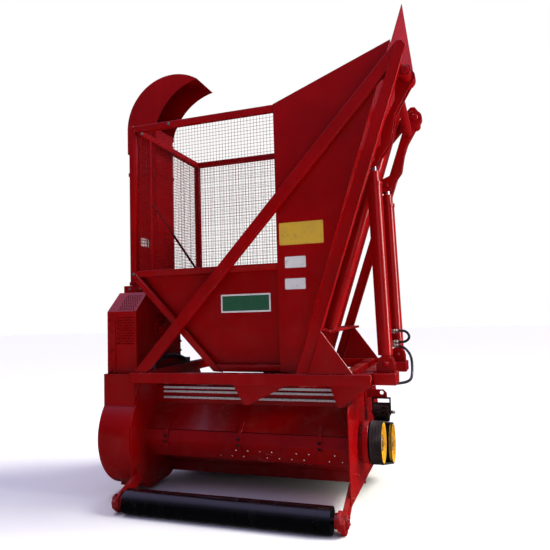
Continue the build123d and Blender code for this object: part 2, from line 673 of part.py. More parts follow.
def stay_tube():
    """Round stay on the mast's cross member, parallel to the hopper's right wall."""
    z0 = RAIL_TOP_Z + GUSSET_H
    x0 = stay_x(z0)
    length = (STAY_TOP_Z - z0) / math.cos(math.radians(WALL_LEAN))
    collar_at = (STAY_COLLAR_Z - z0) / math.cos(math.radians(WALL_LEAN))
    tube = Pos(x0, STAY_Y, z0 + length / 2) * Cylinder(STAY_R, length)
    collar = Pos(x0, STAY_Y, z0 + collar_at) * Cylinder(STAY_R + 2 * STAY_SLEEVE, STAY_COLLAR_L)
    upper = Pos(x0, STAY_Y, z0 + (collar_at + length) / 2) * Cylinder(STAY_R + STAY_SLEEVE, length - collar_at)
    reach = 4 * STAY_R
    below = block(x0 - reach, x0 + reach, STAY_Y - reach, STAY_Y + reach, z0 - reach, z0)
    return tilt(tube + collar + upper, x0, z0, WALL_LEAN) - below


def foot_brackets():
    """Clevis cheeks of both cylinders on the carrier."""
    parts = []
    for y in LEVER_Y:
        for side in (-1, 1):
            y0 = y + side * LEVER_GAP / 2
            y1 = y0 + side * CHEEK_T
            lo, hi = min(y0, y1), max(y0, y1)
            cheek = round_y(FOOT_X, lo, hi, FOOT_Z, BRACKET_R)
            cheek += block(FOOT_X - BRACKET_FOOT, FOOT_X + BRACKET_FOOT, lo, hi, RAIL_TOP_Z - CARRIER_DROP, FOOT_Z)
            parts.append(cheek - round_y(FOOT_X, lo - 1, hi + 1, FOOT_Z, PIN_R))
        reach = LEVER_GAP / 2 + CHEEK_T + BRACKET_PIN_END
        parts.append(round_y(FOOT_X, y - reach, y + reach, FOOT_Z, PIN_R))
    return fuse(parts)


def blower_casing():
    """Round blower casing with its square throat, on the outside of the left plate."""
    inner = -SIDE_X
    drum = round_x(CASING_X, inner, AUGER_Y, CASING_Z, CASING_R)
    neck_z = CASING_TOP_Z - CASING_NECK
    rear = AUGER_Y - math.sqrt(CASING_R ** 2 - (neck_z - CASING_Z) ** 2)
    throat = block(CASING_X, inner, rear, CASING_FRONT_Y, CASING_Z, CASING_TOP_Z)
    volute = [(AUGER_Y + y, CASING_Z + z) for y, z in VOLUTE]
    volute += [(CASING_FRONT_Y, VOLUTE_FRONT_Z), (CASING_FRONT_Y, neck_z), (AUGER_Y, neck_z)]
    shell = drum + throat + prism_x(volute, CASING_X, inner)
    bore = round_x(inner - STUB_ROOM, inner + 1, AUGER_Y, AUGER_Z, AUGER_SHAFT_R + STUB_CLEAR)
    return shell - bore


def belt_guard():
    """Vented sheet box with a sloping shoulder, standing on the blower casing."""
    outline = [
        (GUARD_REAR_Y, CASING_TOP_Z),
        (GUARD_REAR_Y, GUARD_SHOULDER_Z),
        (GUARD_REAR_Y + GUARD_CHAMFER, GUARD_TOP_Z),
        (GUARD_FRONT_Y, GUARD_TOP_Z),
        (GUARD_FRONT_Y, CASING_TOP_Z),
    ]
    x0, x1 = CASING_X, -SIDE_X - GUARD_GAP
    box = prism_x(outline, x0, x1)
    room = prism_x(bent_sheet(outline, -SHEET_T)[len(outline):] , x0 + SHEET_T, x1 - SHEET_T)
    slope = math.degrees(math.atan2(GUARD_TOP_Z - GUARD_SHOULDER_Z, GUARD_CHAMFER))
    drill = Rot(90, 0, 0) * Cylinder(VENT_R, 4 * SHEET_T)
    vents = []
    for row in range(VENT_ROWS):
        odd = row % 2
        for k in range(VENT_COLUMNS - odd):
            x = x1 - VENT_EDGE - (k + odd / 2) * VENT_PITCH
            z = GUARD_SHOULDER_Z - VENT_DROP - row * VENT_PITCH
            vents.append(Pos(x, GUARD_REAR_Y, z) * drill)
            along = (row + 1) * VENT_PITCH * 0.92
            y = GUARD_REAR_Y + along * math.cos(math.radians(slope))
            zs = GUARD_SHOULDER_Z + along * math.sin(math.radians(slope))
            if zs < GUARD_TOP_Z - VENT_PITCH:
                vents.append(Pos(x, y, zs) * Rot(slope - 90, 0, 0) * drill)
    return box - room - vents


def duct_neck():
    """Wide collar on top of the guard: the duct stands over it."""
    y0, y1 = COLLAR_REAR_Y, COLLAR_FRONT_Y
    w = COLLAR_WALL
    collar = block(COLLAR_X, COLLAR_RIGHT_X, y0, y1, GUARD_TOP_Z, COLLAR_TOP_Z)
    collar -= block(COLLAR_X + w, COLLAR_RIGHT_X - w, y0 + w, y1 - w, GUARD_TOP_Z + w, COLLAR_TOP_Z + 1)
    return collar


def neck_bearing():
    """Bolted bearing flange on the guard's right wall."""
    x = -SIDE_X - GUARD_GAP
    flange = round_x(x, x + 14, BEARING_Y, BEARING_Z, BEARING_R)
    return flange + round_x(x + 14, x + 52, BEARING_Y, BEARING_Z, BEARING_HUB_R)


def drive_cover():
    """Rounded cover of the left side drive, from the cross shaft down to the rotor."""
    circles = [
        Pos(ROTOR_Y, ROTOR_Z) * Edge.make_circle(COVER_ROTOR_R),
        Pos(GEARBOX_Y, GEARBOX_Z - SHAFT_DROP) * Edge.make_circle(COVER_TOP_R),
    ]
    shell = extrude(make_hull(circles), amount=COVER_W)
    shell = Pos(-SIDE_X - COVER_W, 0, 0) * Rot(0, 90, 0) * Rot(0, 0, 90) * shell
    return shell - round_x(-SIDE_X - STUB_ROOM, -SIDE_X + 1, ROTOR_Y, ROTOR_Z, ROTOR_SHAFT_R + STUB_CLEAR)


def rubber_arch():
    """Moulded rubber tube arched along the left rail, its ends held in two feet."""
    x = BASE_LEFT_X + RAIL / 2
    z = RAIL_TOP_Z + ARCH_FOOT[2] / 2
    (y0, y1), crown = ARCH_Y, z + ARCH_RISE
    path = ThreePointArc((x, y0, z), (x, (y0 + y1) / 2, crown), (x, y1, z))
    ring = Plane(path @ 0, z_dir=path % 0) * Circle(ARCH_R)
    return sweep(ring, path=path)


def arch_feet():
    """Steel feet that hold the arch's ends on the rail."""
    x = BASE_LEFT_X + RAIL / 2
    w, depth, height = ARCH_FOOT
    feet = []
    for y in ARCH_Y:
        foot = block(x - depth / 2, x + depth / 2, y - w / 2, y + w / 2, RAIL_TOP_Z, RAIL_TOP_Z + height)
        feet.append(foot - rubber_arch())
    return feet


def roller_arm(side):
    """Arm and bearing housing that carry one end of the rear roller."""
    inside = SIDE_X - SIDE_T
    h0 = ROLLER_HALF + ROLLER_GAP
    h1 = inside - ARM_T
    front = max(SIDE_REAR_Y) + ARM_LAP
    outline = list(ARM_HEAD) + [(front, SIDE_BOTTOM_Z + lift) for lift in ARM_LIFT]
    arm = prism_x(outline, *sorted((side * h1, side * inside)))
    step = (h0 + h1) / 2
    arm += round_x(side * step, side * h1, 0, ROLLER_R, ROLLER_HOUSING_R)
    arm += round_x(side * h0, side * step, 0, ROLLER_R, ROLLER_HOUSING_NECK)
    arm += round_x(side * inside, side * (inside + ARM_CAP_T), 0, ROLLER_R, ARM_CAP_R)
    return arm - round_x(side * (h0 - 1), side * inside, 0, ROLLER_R, ROLLER_SHAFT_R + SHAFT_CLEAR)


def skids():
    """Front skid shoes inside the side plates: the machine parks on them and on the roller."""
    t = SKID_T
    ramp = (SKID_FRONT_Y - SKID_RAMP, SKID_FRONT_Y - t)
    keel = [(SKID_REAR_Y, t), (ramp[0], t), (ramp[1], SKID_RAMP)]
    keel += [(SKID_REAR_Y + run, z) for run, z in reversed(SKID_KEEL)]
    under = [(SKID_REAR_Y, 0), (ramp[0] + t / 2, 0), (SKID_FRONT_Y, SKID_RAMP - t / 2)]
    sole = under + [(ramp[1], SKID_RAMP), (ramp[0], t), (SKID_REAR_Y, t)]
    outer = SIDE_X - SKID_INSET
    shoes = []
    for side in (-1, 1):
        shoe = prism_x(keel, *sorted((side * (outer - t), side * outer)))
        shoe += prism_x(sole, *sorted((side * (outer - SKID_W), side * outer)))
        link = block(side * (outer - t), side * (SIDE_X - SIDE_T), *SKID_LINK, *SKID_LINK_Z)
        shoes.append(shoe + link)
    return shoes


def idler_lug():
    """Red foot on the right side plate, with the drilled lug that the yoke hangs from."""
    z0 = YOKE_BRIDGE_Z + YOKE_T
    x0, x1 = SIDE_X + LUG_T, PULLEY_X + PULLEY_W
    c = LUG_CORNER
    outline = [(x0, z0), (x1, z0), (x1, z0 + LUG_H - c), (x1 - c, z0 + LUG_H), (x0, z0 + LUG_H)]
    lug = prism_y(outline, IDLER_Y - LUG_T / 2, IDLER_Y + LUG_T / 2)
    lug -= round_y(x1 - LUG_HOLE_INSET, IDLER_Y - LUG_T, IDLER_Y + LUG_T, z0 + LUG_HOLE_RISE, LUG_HOLE_R)
    half = LUG_FOOT_W / 2
    foot = block(SIDE_X, SIDE_X + LUG_T, IDLER_Y - half, IDLER_Y + half, z0 - LUG_H, z0 + LUG_H)
    return lug + foot


def idler_yoke():
    """Bright yoke with the pin that the idler turns on."""
    reach = IDLER_OVER + YOKE_GAP
    x0, x1 = PULLEY_X - reach, PULLEY_X + PULLEY_W + reach
    y0, y1 = IDLER_Y - YOKE_W / 2, IDLER_Y + YOKE_W / 2
    z0, z1 = idler_z() - YOKE_W / 2, YOKE_BRIDGE_Z
    bridge = block(x0 - YOKE_T, x1 + YOKE_T, y0, y1, z1, z1 + YOKE_T)
    cheeks = [block(x0 - YOKE_T, x0, y0, y1, z0, z1), block(x1, x1 + YOKE_T, y0, y1, z0, z1)]
    pin = round_x(x0 - 2 * YOKE_T, x1 + 3 * YOKE_T, IDLER_Y, idler_z(), IDLER_SHAFT_R)
    return fuse([bridge] + cheeks + [pin])


def hitch():
    """Three point hitch: cross beam, outboard lower pins and the upper link's ears."""
    y1 = SIDE_FRONT_Y - BEAM_SETBACK
    y0 = y1 - BEAM_D
    z0 = SIDE_NOSE_Z - 20
    z1 = z0 + BEAM_H
    upper_z = LOWER_PIN_Z + MAST_HEIGHT
    inside = SIDE_X - SIDE_T
    t = HITCH_PLATE_T
    parts = [block(-inside, inside, y0, y1, z0, z1)]
    cheek = [
        (y1, z1),
        (HITCH_Y + 34, LOWER_PIN_Z + 34),
        (HITCH_Y + 34, LOWER_PIN_Z - 34),
        (y1, z0 - 90),
    ]
    for side in (-1, 1):
        outer = LOWER_PIN_HALF - LOWER_PIN_L / 2
        inner = outer - LOWER_PLATE_GAP
        carrier = []
        for x in (outer - t / 2, inner - t / 2):
            carrier.append(prism_x(cheek, *sorted((side * (x - t / 2), side * (x + t / 2)))))
        pin = round_x(side * (inner - t), side * (LOWER_PIN_HALF + LOWER_PIN_L / 2), HITCH_Y, LOWER_PIN_Z, LOWER_PIN_R)
        parts.append(fuse(carrier + [pin]))
    ear = [
        (BASE_FRONT_Y, z1),
        (y1, z1),
        (HITCH_Y + 40, upper_z - 40),
        (HITCH_Y + 40, upper_z + 40),
        (HITCH_Y - 50, upper_z + 40),
        (BASE_FRONT_Y, upper_z - 100),
    ]
    for x in (-EAR_X, EAR_X):
        bore = round_x(x - t, x + t, HITCH_Y, upper_z, UPPER_PIN_R)
        parts.append(prism_x(ear, x - t / 2, x + t / 2) - bore)
    gap = EAR_X - t / 2
    parts.append(block(-gap, gap, BASE_FRONT_Y, BASE_FRONT_Y + 14, RAIL_BOTTOM_Z, RAIL_TOP_Z))
    return parts


def front_curtain():
    """Row of rubber flaps behind the hitch beam, in front of the rotor."""
    inside = SIDE_X - SIDE_T - CURTAIN_GAP
    y1 = SIDE_FRONT_Y - BEAM_SETBACK - BEAM_D
    pitch = 2 * inside / CURTAIN_FLAPS
    flaps = []
    for k in range(CURTAIN_FLAPS):
        x = -inside + k * pitch
        flaps.append(block(x, x + pitch - CURTAIN_GAP, y1 - CURTAIN_T, y1, CURTAIN_BOTTOM_Z, SIDE_NOSE_Z + 40))
    return flaps


def gearbox():
    """Plain gearbox block with its splined input stub and the cross tube to the left drive."""
    gx, gy, gz = GEARBOX
    body = block(-gx / 2, gx / 2, GEARBOX_Y - gy / 2, GEARBOX_Y + gy / 2, GEARBOX_Z - gz / 2, GEARBOX_Z + gz / 2)
    body = fillet(body.edges().filter_by(Axis.Y), 30)
    nose = round_y(0, GEARBOX_Y + gy / 2, GEARBOX_Y + gy / 2 + 50, GEARBOX_Z, 70)
    stub = round_y(0, GEARBOX_Y + gy / 2 + 50, GEARBOX_Y + gy / 2 + 50 + PTO_L, GEARBOX_Z, PTO_R)
    side = round_x(-SIDE_X + SIDE_T, -gx / 2 + 20, GEARBOX_Y, GEARBOX_Z - SHAFT_DROP, SHAFT_TUBE_R)
    foot = block(-gx / 2 + 10, gx / 2 - 10, GEARBOX_Y + gy / 2, BASE_FRONT_Y - RAIL, GEARBOX_Z - 80, RAIL_TOP_Z - 10)
    return body + nose + stub + side + foot


# ---- hopper ------------------------------------------------------------------------------
def end_frame(y0):
    """Tube frame of one end wall: butted members, mitred along their neighbours."""
    y1 = y0 + HTUBE
    t = HTUBE
    left, top, mid = HOPPER_LEFT_X, HOPPER_TOP_Z, MID_RAIL_Z
    slope = (HOPPER_CORNER_Z - FLOOR_Z) / (FLOOR_LEFT_X - left)
    run = t * math.hypot(1, slope) / slope
    lift = t * math.hypot(1, slope)
    w = t * math.hypot(1, WALL_SLOPE)
    x1 = left + t
    low = HOPPER_CORNER_Z - t * slope
    members = [
        [(left, HOPPER_CORNER_Z), (x1, low), (x1, top), (left, top)],
        [(x1, low), (FLOOR_LEFT_X, FLOOR_Z), (FLOOR_LEFT_X + run, FLOOR_Z), (x1, low + lift)],
        [(x1, top - t), (PLATE_LEFT_X, top - t), (PLATE_LEFT_X, top), (x1, top)],
        [(x1, low + lift), (x1 + (low + lift - mid + t) / slope, mid - t), (PLATE_LEFT_X, mid - t), (PLATE_LEFT_X, mid), (x1, mid)],
        [
            (FLOOR_LEFT_X + run, FLOOR_Z),
            (wall_x(FLOOR_Z) - w, FLOOR_Z),
            (wall_x(FLOOR_Z + t) - w, FLOOR_Z + t),
            (FLOOR_LEFT_X + run - t / slope, FLOOR_Z + t),
        ],
        [
            (wall_x(FLOOR_Z) - w, FLOOR_Z),
            (wall_x(FLOOR_Z), FLOOR_Z),
            (wall_x(PLATE_TOP_Z), PLATE_TOP_Z),
            (wall_x(PLATE_TOP_Z) - w, PLATE_TOP_Z - w * WALL_SLOPE),
        ],
        [(PLATE_LEFT_X, mid - t), (PLATE_LEFT_X + t, mid - t), (PLATE_LEFT_X + t, top), (PLATE_LEFT_X, top)],
    ]
    return [prism_y(outline, y0, y1) for outline in members]


def end_wall(y0, panel_y0):
    """Solid sheets of one end wall: the tall plate, and the lower left panel set inside."""
    tall = prism_y(
        [
            (PLATE_LEFT_X, FLOOR_Z),
            (wall_x(FLOOR_Z), FLOOR_Z),
            (wall_x(PLATE_TOP_Z), PLATE_TOP_Z),
            (PLATE_LEFT_X, HOPPER_TOP_Z),
        ],
        y0,
        y0 + SHEET_T,
    )
    low = prism_y(
        [
            (HOPPER_LEFT_X + HTUBE + 2, HOPPER_CORNER_Z - 25),
            (FLOOR_LEFT_X, FLOOR_Z + 20),
            (PLATE_LEFT_X + LOW_PANEL_LAP, FLOOR_Z + 20),
            (PLATE_LEFT_X + LOW_PANEL_LAP, MID_RAIL_Z - 20),
            (HOPPER_LEFT_X + HTUBE + 2, MID_RAIL_Z - 20),
        ],
        panel_y0,
        panel_y0 + SHEET_T,
    )
    return [tall, low]


def hopper_rails():
    """Rails along the hopper that join its two end frames."""
    y0, y1 = HOPPER_REAR_Y + HTUBE, HOPPER_FRONT_Y - HTUBE
    t = HTUBE
    left = HOPPER_LEFT_X
    return [
        block(left, left + t, y0, y1, HOPPER_TOP_Z - t, HOPPER_TOP_Z),
        block(left, left + t, y0, y1, MID_RAIL_Z - t, MID_RAIL_Z),
    ]


def hopper_belly():
    """Sloping floor, flat floor and leaning right wall in one folded sheet."""
    y0, y1 = HOPPER_REAR_Y + HTUBE, HOPPER_FRONT_Y - HTUBE
    path = [
        (HOPPER_LEFT_X, MID_RAIL_Z - HTUBE - SHEET_T),
        (FLOOR_LEFT_X, FLOOR_Z),
        (FLOOR_RIGHT_X, FLOOR_Z),
        (wall_x(LIP_TOP_Z), LIP_TOP_Z),
    ]
    return prism_y(bent_sheet(path, SHEET_T), y0, y1)


def mesh_end(y):
    """Wire mesh of one end window; uprights and level wires lie side by side."""
    x0, x1 = HOPPER_LEFT_X + HTUBE, PLATE_LEFT_X
    z0, z1 = MID_RAIL_Z, HOPPER_TOP_Z - HTUBE
    w = MESH_END_WIRE
    wires = []
    for k in range(1, int((x1 - x0) / MESH_PITCH) + 1):
        x = x0 + k * MESH_PITCH - MESH_PITCH / 2
        wires.append(block(x - w / 2, x + w / 2, y, y + w, z0, z1))
    for k in range(1, int((z1 - z0) / MESH_PITCH) + 1):
        z = z0 + k * MESH_PITCH - MESH_PITCH / 2
        wires.append(block(x0, x1, y + w + WIRE_GAP, y + 2 * w + WIRE_GAP, z - w / 2, z + w / 2))
    return wires


def mesh_left():
    """Wire mesh of the left window."""
    y0, y1 = HOPPER_REAR_Y + HTUBE, HOPPER_FRONT_Y - HTUBE
    z0, z1 = MID_RAIL_Z, HOPPER_TOP_Z - HTUBE
    x = HOPPER_LEFT_X + MESH_INSET
    w = MESH_WIRE
    wires = []
    for k in range(1, int((y1 - y0) / MESH_PITCH) + 1):
        y = y0 + k * MESH_PITCH - MESH_PITCH / 2
        wires.append(block(x, x + w, y - w / 2, y + w / 2, z0, z1))
    for k in range(1, int((z1 - z0) / MESH_PITCH) + 1):
        z = z0 + k * MESH_PITCH - MESH_PITCH / 2
        wires.append(block(x + w + WIRE_GAP, x + 2 * w + WIRE_GAP, y0, y1, z - w / 2, z + w / 2))
    return wires


def lever(y):
    """Hinge head with two cheeks, and a pin boss outside each cheek for the cylinder."""
    tail_z, lap_z = EYE_Z - LEVER_TAIL, EYE_Z + LEVER_LAP
    outline = [(wall_x(tail_z), tail_z)]
    outline += [(EYE_X + dx, EYE_Z + dz) for dx, dz in LEVER_FROM_EYE]
    outline += [(PIVOT_X + dx, PIVOT_Z + dz) for dx, dz in LEVER_FROM_HINGE + LEVER_NAPE + LEVER_BACK]
    outline += [(EYE_X + LEVER_HEEL[0], EYE_Z + LEVER_HEEL[1]), (wall_x(lap_z), lap_z)]
    near, far = y - LEVER_GAP / 2, y + LEVER_GAP / 2
    reach = LEVER_GAP / 2 + CHEEK_T
    head = round_y(PIVOT_X, y - reach, y + reach, PIVOT_Z, HEAD_R)
    parts = [head, prism_y(outline, near - CHEEK_T, near), prism_y(outline, far, far + CHEEK_T)]
    for y0, y1 in ((near - CHEEK_T - BOSS_L, near), (far, far + CHEEK_T + BOSS_L)):
        parts.append(round_y(EYE_X, y0, y1, EYE_Z, PIN_R))
    (top_x, top_z), (low_x, low_z) = [(PIVOT_X + dx, PIVOT_Z + dz) for dx, dz in (LEVER_NAPE[1], LEVER_BACK[0])]
    web = [(top_x, top_z), (low_x, low_z), (low_x + CHEEK_T, low_z), (top_x + CHEEK_T, top_z)]
    parts.append(prism_y(web, near, far))
    return fuse(parts) - round_y(PIVOT_X, y - reach - 1, y + reach + 1, PIVOT_Z, PIVOT_R + SHAFT_CLEAR)


def lever_tie():
    """Round torque tube between the necks of the two levers."""
    reach = LEVER_GAP / 2 + CHEEK_T
    x, z = PIVOT_X + TIE_FROM_HINGE[0], PIVOT_Z + TIE_FROM_HINGE[1]
    return round_y(x, LEVER_Y[0] + reach, LEVER_Y[1] - reach, z, TIE_R)


def discharge_duct():
    """Square upright duct beside the hopper, with its foot flange and a band."""
    x0, x1, y0, y1 = DUCT_LEFT_X, DUCT_RIGHT_X, DUCT_REAR_Y, DUCT_FRONT_Y
    z0 = COLLAR_TOP_Z + DUCT_GAP
    t = DUCT_T
    shell = block(x0, x1, y0, y1, z0, DUCT_TOP_Z)
    heights = [z0] + [DUCT_TOP_Z - drop for drop in BAND_DROPS]
    bands = [block(x0 - BAND_T, x1 + BAND_T, y0 - BAND_T, y1 + BAND_T, z, z + BAND_H) for z in heights]
    return shell + bands - block(x0 + t, x1 - t, y0 + t, y1 - t, z0 - 1, DUCT_TOP_Z + 1)


def gooseneck():
    """Curved spout: a bent outer skin with crescent cheeks, open below."""
    r = HOOD_BEND_R
    cx, cz = DUCT_LEFT_X - BAND_T - DUCT_T + r, DUCT_TOP_Z
    t = DUCT_T
    start, end = 180.0, 180.0 - HOOD_SWEEP
    y0, y1 = DUCT_REAR_Y - BAND_T - DUCT_T, DUCT_FRONT_Y + BAND_T + DUCT_T
    tip = (cx + r * math.cos(math.radians(end)), cz + r * math.sin(math.radians(end)))
    mid = math.radians((start + end) / 2)
    top = (cx + r * math.cos(mid), cz + r * math.sin(mid))
    inner_foot = (DUCT_RIGHT_X + BAND_T, cz)
    inner_mid = (inner_foot[0] + CHEEK_BULGE[0], cz + CHEEK_BULGE[1])
    edges = [
        Line((cx - r, 0, cz), (cx - r, 0, cz - SKIRT_DROP)),
        Line((cx - r, 0, cz - SKIRT_DROP), (inner_foot[0], 0, cz - 40)),
        Line((inner_foot[0], 0, cz - 40), (inner_foot[0], 0, cz)),
        ThreePointArc((inner_foot[0], 0, cz), (inner_mid[0], 0, inner_mid[1]), (tip[0], 0, tip[1])),
        ThreePointArc((tip[0], 0, tip[1]), (top[0], 0, top[1]), (cx - r, 0, cz)),
    ]
    cheek = make_face(Wire(edges))
    near = extrude(Pos(0, y0, 0) * cheek, amount=t, dir=(0, 1, 0))
    far = extrude(Pos(0, y1 - t, 0) * cheek, amount=t, dir=(0, 1, 0))
    ri = r - t
    tin = (cx + ri * math.cos(math.radians(end)), cz + ri * math.sin(math.radians(end)))
    topi = (cx + ri * math.cos(mid), cz + ri * math.sin(mid))
    skin_edges = [
        Line((cx - r, 0, cz - SKIRT_DROP), (cx - r, 0, cz)),
        ThreePointArc((cx - r, 0, cz), (top[0], 0, top[1]), (tip[0], 0, tip[1])),
        Line((tip[0], 0, tip[1]), (tin[0], 0, tin[1])),
        ThreePointArc((tin[0], 0, tin[1]), (topi[0], 0, topi[1]), (cx - ri, 0, cz)),
        Line((cx - ri, 0, cz), (cx - ri, 0, cz - SKIRT_DROP)),
        Line((cx - ri, 0, cz - SKIRT_DROP), (cx - r, 0, cz - SKIRT_DROP)),
    ]
    skin = extrude(Pos(0, y0 + t, 0) * make_face(Wire(skin_edges)), amount=y1 - y0 - 2 * t, dir=(0, 1, 0))
    return near + far + skin


def duct_spacers():
    """Bolted spacers between the hopper's left rails and the duct."""
    y0, y1 = DUCT_REAR_Y + SPACER_END, DUCT_FRONT_Y - SPACER_END
    blocks = []
    for z in (HOPPER_TOP_Z, MID_RAIL_Z):
        blocks.append(block(DUCT_RIGHT_X, HOPPER_LEFT_X, y0, y1, z - HTUBE + SPACER_INSET, z - SPACER_INSET))
    return blocks


def label_plates():
    """Blank plates on the rear end wall."""
    plates = []
    for labels, y in ((PLATE_LABELS, HOPPER_REAR_Y - SHEET_T), (PANEL_LABELS, HOPPER_REAR_Y + HTUBE)):
        plates += [block(x0, x1, y - LABEL_T, y, z0, z1) for x0, x1, z0, z1 in labels]
    return plates


def gas_strut():
    """Thin strut across the left window: bright rod above, thicker body below."""
    (y0, z0), (y1, z1) = STRUT_FOOT, STRUT_TOP
    length = math.hypot(y1 - y0, z1 - z0)
    lean = math.degrees(math.atan2(y0 - y1, z1 - z0))
    body_l = length * STRUT_BODY_SHARE
    body = Pos(0, 0, body_l / 2) * Cylinder(STRUT_BODY_R, body_l)
    stem = Pos(0, 0, (body_l + length) / 2) * Cylinder(STRUT_ROD_R, length - body_l)
    return Pos(STRUT_X, y0, z0) * Rot(lean, 0, 0) * (body + stem)


def strut_lugs():
    """Flat bar behind the left mesh for the strut's rod, and a lug on the middle rail for its foot."""
    x0, x1 = HOPPER_LEFT_X + HTUBE, STRUT_X - STRUT_BODY_R
    y, z = STRUT_FOOT
    return [
        block(STRUT_X - STRUT_ROD_R - 8, STRUT_X - STRUT_ROD_R, STRUT_TOP[0] - 15, STRUT_TOP[0] + 15, MID_RAIL_Z, HOPPER_TOP_Z - HTUBE),
        block(x0, x1, y - 12, y + 8, z - 60, z + 10),
    ]


# ---- cylinders ---------------------------------------------------------------------------
def barrel(y):
    """Cylinder barrel with its foot eye, standing along its own axis."""
    body = Pos(FOOT_X, y, FOOT_Z + (BARREL_FOOT + BARREL_TOP) / 2) * Cylinder(BARREL_R, BARREL_TOP - BARREL_FOOT)
    body += Pos(FOOT_X, y, FOOT_Z + BARREL_TOP - BARREL_RIM / 2) * Cylinder(BARREL_R + BARREL_RIM_T, BARREL_RIM)
    gland = Pos(FOOT_X, y, FOOT_Z + BARREL_TOP + GLAND_L / 2) * Cylinder(GLAND_R, GLAND_L)
    foot = round_y(FOOT_X, y - EYE_W / 2, y + EYE_W / 2, FOOT_Z, EYE_R)
    foot += Pos(FOOT_X, y, FOOT_Z + BARREL_FOOT - SHANK_H / 2 + SHANK_LAP) * Box(EYE_W, EYE_W - 2 * SHANK_LAP, SHANK_H)
    top = FOOT_Z + BARREL_TOP - BARREL_RIM
    low = FOOT_Z + BARREL_FOOT + BARREL_FLOOR
    bore = Pos(FOOT_X, y, (low + top) / 2) * Cylinder(BARREL_BORE_R, top - low)
    neck_len = BARREL_TOP + GLAND_L
    neck = Pos(FOOT_X, y, FOOT_Z + neck_len) * Cylinder(ROD_R + SHAFT_CLEAR, 3 * GLAND_L)
    pin = round_y(FOOT_X, y - EYE_W, y + EYE_W, FOOT_Z, PIN_R + SHAFT_CLEAR)
    return tilt(body + gland + foot - bore - neck - pin, FOOT_X, FOOT_Z, CYL_LEAN)


def rod(y):
    """Piston rod with its eye and the middle of its pin, at the same lean as its barrel."""
    length = math.hypot(EYE_X - FOOT_X, EYE_Z - FOOT_Z)
    low = FOOT_Z + PISTON_AT
    high = FOOT_Z + length
    shaft = Pos(FOOT_X, y, (low + high) / 2) * Cylinder(ROD_R, high - low)
    piston = Pos(FOOT_X, y, low + PISTON_L / 2) * Cylinder(BARREL_BORE_R - SHAFT_CLEAR, PISTON_L)
    eye = round_y(FOOT_X, y - EYE_W / 2, y + EYE_W / 2, high, EYE_R)
    return tilt(shaft + piston + eye, FOOT_X, FOOT_Z, CYL_LEAN)


# ---- all the nodes -----------------------------------------------------------------------
def build():
    """Every node by name, in the building datum's frame."""
    near_y, far_y = HOPPER_REAR_Y, HOPPER_FRONT_Y - HTUBE
    nodes = {
        "left_side_plate": side_plate(-1),
        "right_side_plate": side_plate(1),
        "rotor_hood": rotor_hood(),
        "auger_trough": auger_trough(),
        "hood_ribs": hood_ribs(),
        "trough_adjusters": trough_adjusters(),
        "drive_cover": drive_cover(),
        "rubber_arch": rubber_arch(),
        "arch_feet": arch_feet(),
        "front_curtain": front_curtain(),
        "base_frame": base_frame(),
        "rail_gussets": rail_gussets(),
        "mast": mast(),
        "hinge_pins": hinge_pins(),
        "diagonal_braces": braces(),
        "stay_tube": stay_tube(),
        "foot_brackets": foot_brackets(),
        "blower_casing": blower_casing(),
        "belt_guard": belt_guard(),
        "duct_neck": duct_neck(),
        "neck_bearing": neck_bearing(),
        "roller_arm_left": roller_arm(-1),
        "roller_arm_right": roller_arm(1),
        "skids": skids(),
        "idler_lug": idler_lug(),
        "idler_yoke": idler_yoke(),
        "hitch": hitch(),
        "gearbox": gearbox(),
        "drive_belts": drive_belts(),
        "rear_roller": rear_roller(),
        "flail_rotor": flail_rotor(),
        "rotor_pulley": grooved_pulley(ROTOR_Y, ROTOR_Z, ROTOR_SHAFT_R, ROTOR_PULLEY_R),
        "auger_shaft": auger_shaft(),
        "auger_pulley": grooved_pulley(AUGER_Y, AUGER_Z, AUGER_SHAFT_R, AUGER_PULLEY_R),
        "idler_roller": idler_roller(),
        "hopper_frame_near": end_frame(near_y),
        "hopper_frame_far": end_frame(far_y),
        "hopper_wall_near": end_wall(near_y - SHEET_T, near_y + HTUBE),
        "hopper_wall_far": end_wall(far_y + HTUBE, far_y - SHEET_T),
        "hopper_rails": hopper_rails(),
        "hopper_belly": hopper_belly(),
        "mesh_near": mesh_end(near_y + MESH_INSET),
        "mesh_far": mesh_end(far_y + MESH_INSET),
        "mesh_left": mesh_left(),
        "lever_near": lever(LEVER_Y[0]),
        "lever_far": lever(LEVER_Y[1]),
        "lever_tie": lever_tie(),
        "discharge_duct": discharge_duct(),
        "gooseneck": gooseneck(),
        "duct_spacers": duct_spacers(),
        "gas_strut": gas_strut(),
        "strut_lugs": strut_lugs(),
        "label_plates": label_plates(),
        "barrel_near": barrel(LEVER_Y[0]),
        "barrel_far": barrel(LEVER_Y[1]),
        "rod_near": rod(LEVER_Y[0]),
        "rod_far": rod(LEVER_Y[1]),
    }
    return {name: shape if isinstance(shape, list) else [shape] for name, shape in nodes.items()}


def write_parts():
    """Move the model onto the bottom centre of its box and write one STEP per node."""
    os.makedirs("parts", exist_ok=True)
    nodes = build()
    boxes = [shape.bounding_box() for shapes in nodes.values() for shape in shapes]
    low = [min(getattr(box.min, axis) for box in boxes) for axis in "XYZ"]
    high = [max(getattr(box.max, axis) for box in boxes) for axis in "XYZ"]
    shift = Pos(-(low[0] + high[0]) / 2, -(low[1] + high[1]) / 2, -low[2])
    print("size", [round(b - a, 2) for a, b in zip(low, high)], "shift", [round(v, 3) for v in shift.position])
    for name, shapes in nodes.items():
        solids = [solid for shape in shapes for solid in shape.solids()]
        placed = [shift * solid for solid in solids]
        export_step(Compound(children=placed) if len(placed) > 1 else placed[0], os.path.join("parts", name + ".step"))


write_parts()
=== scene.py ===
import json
import math

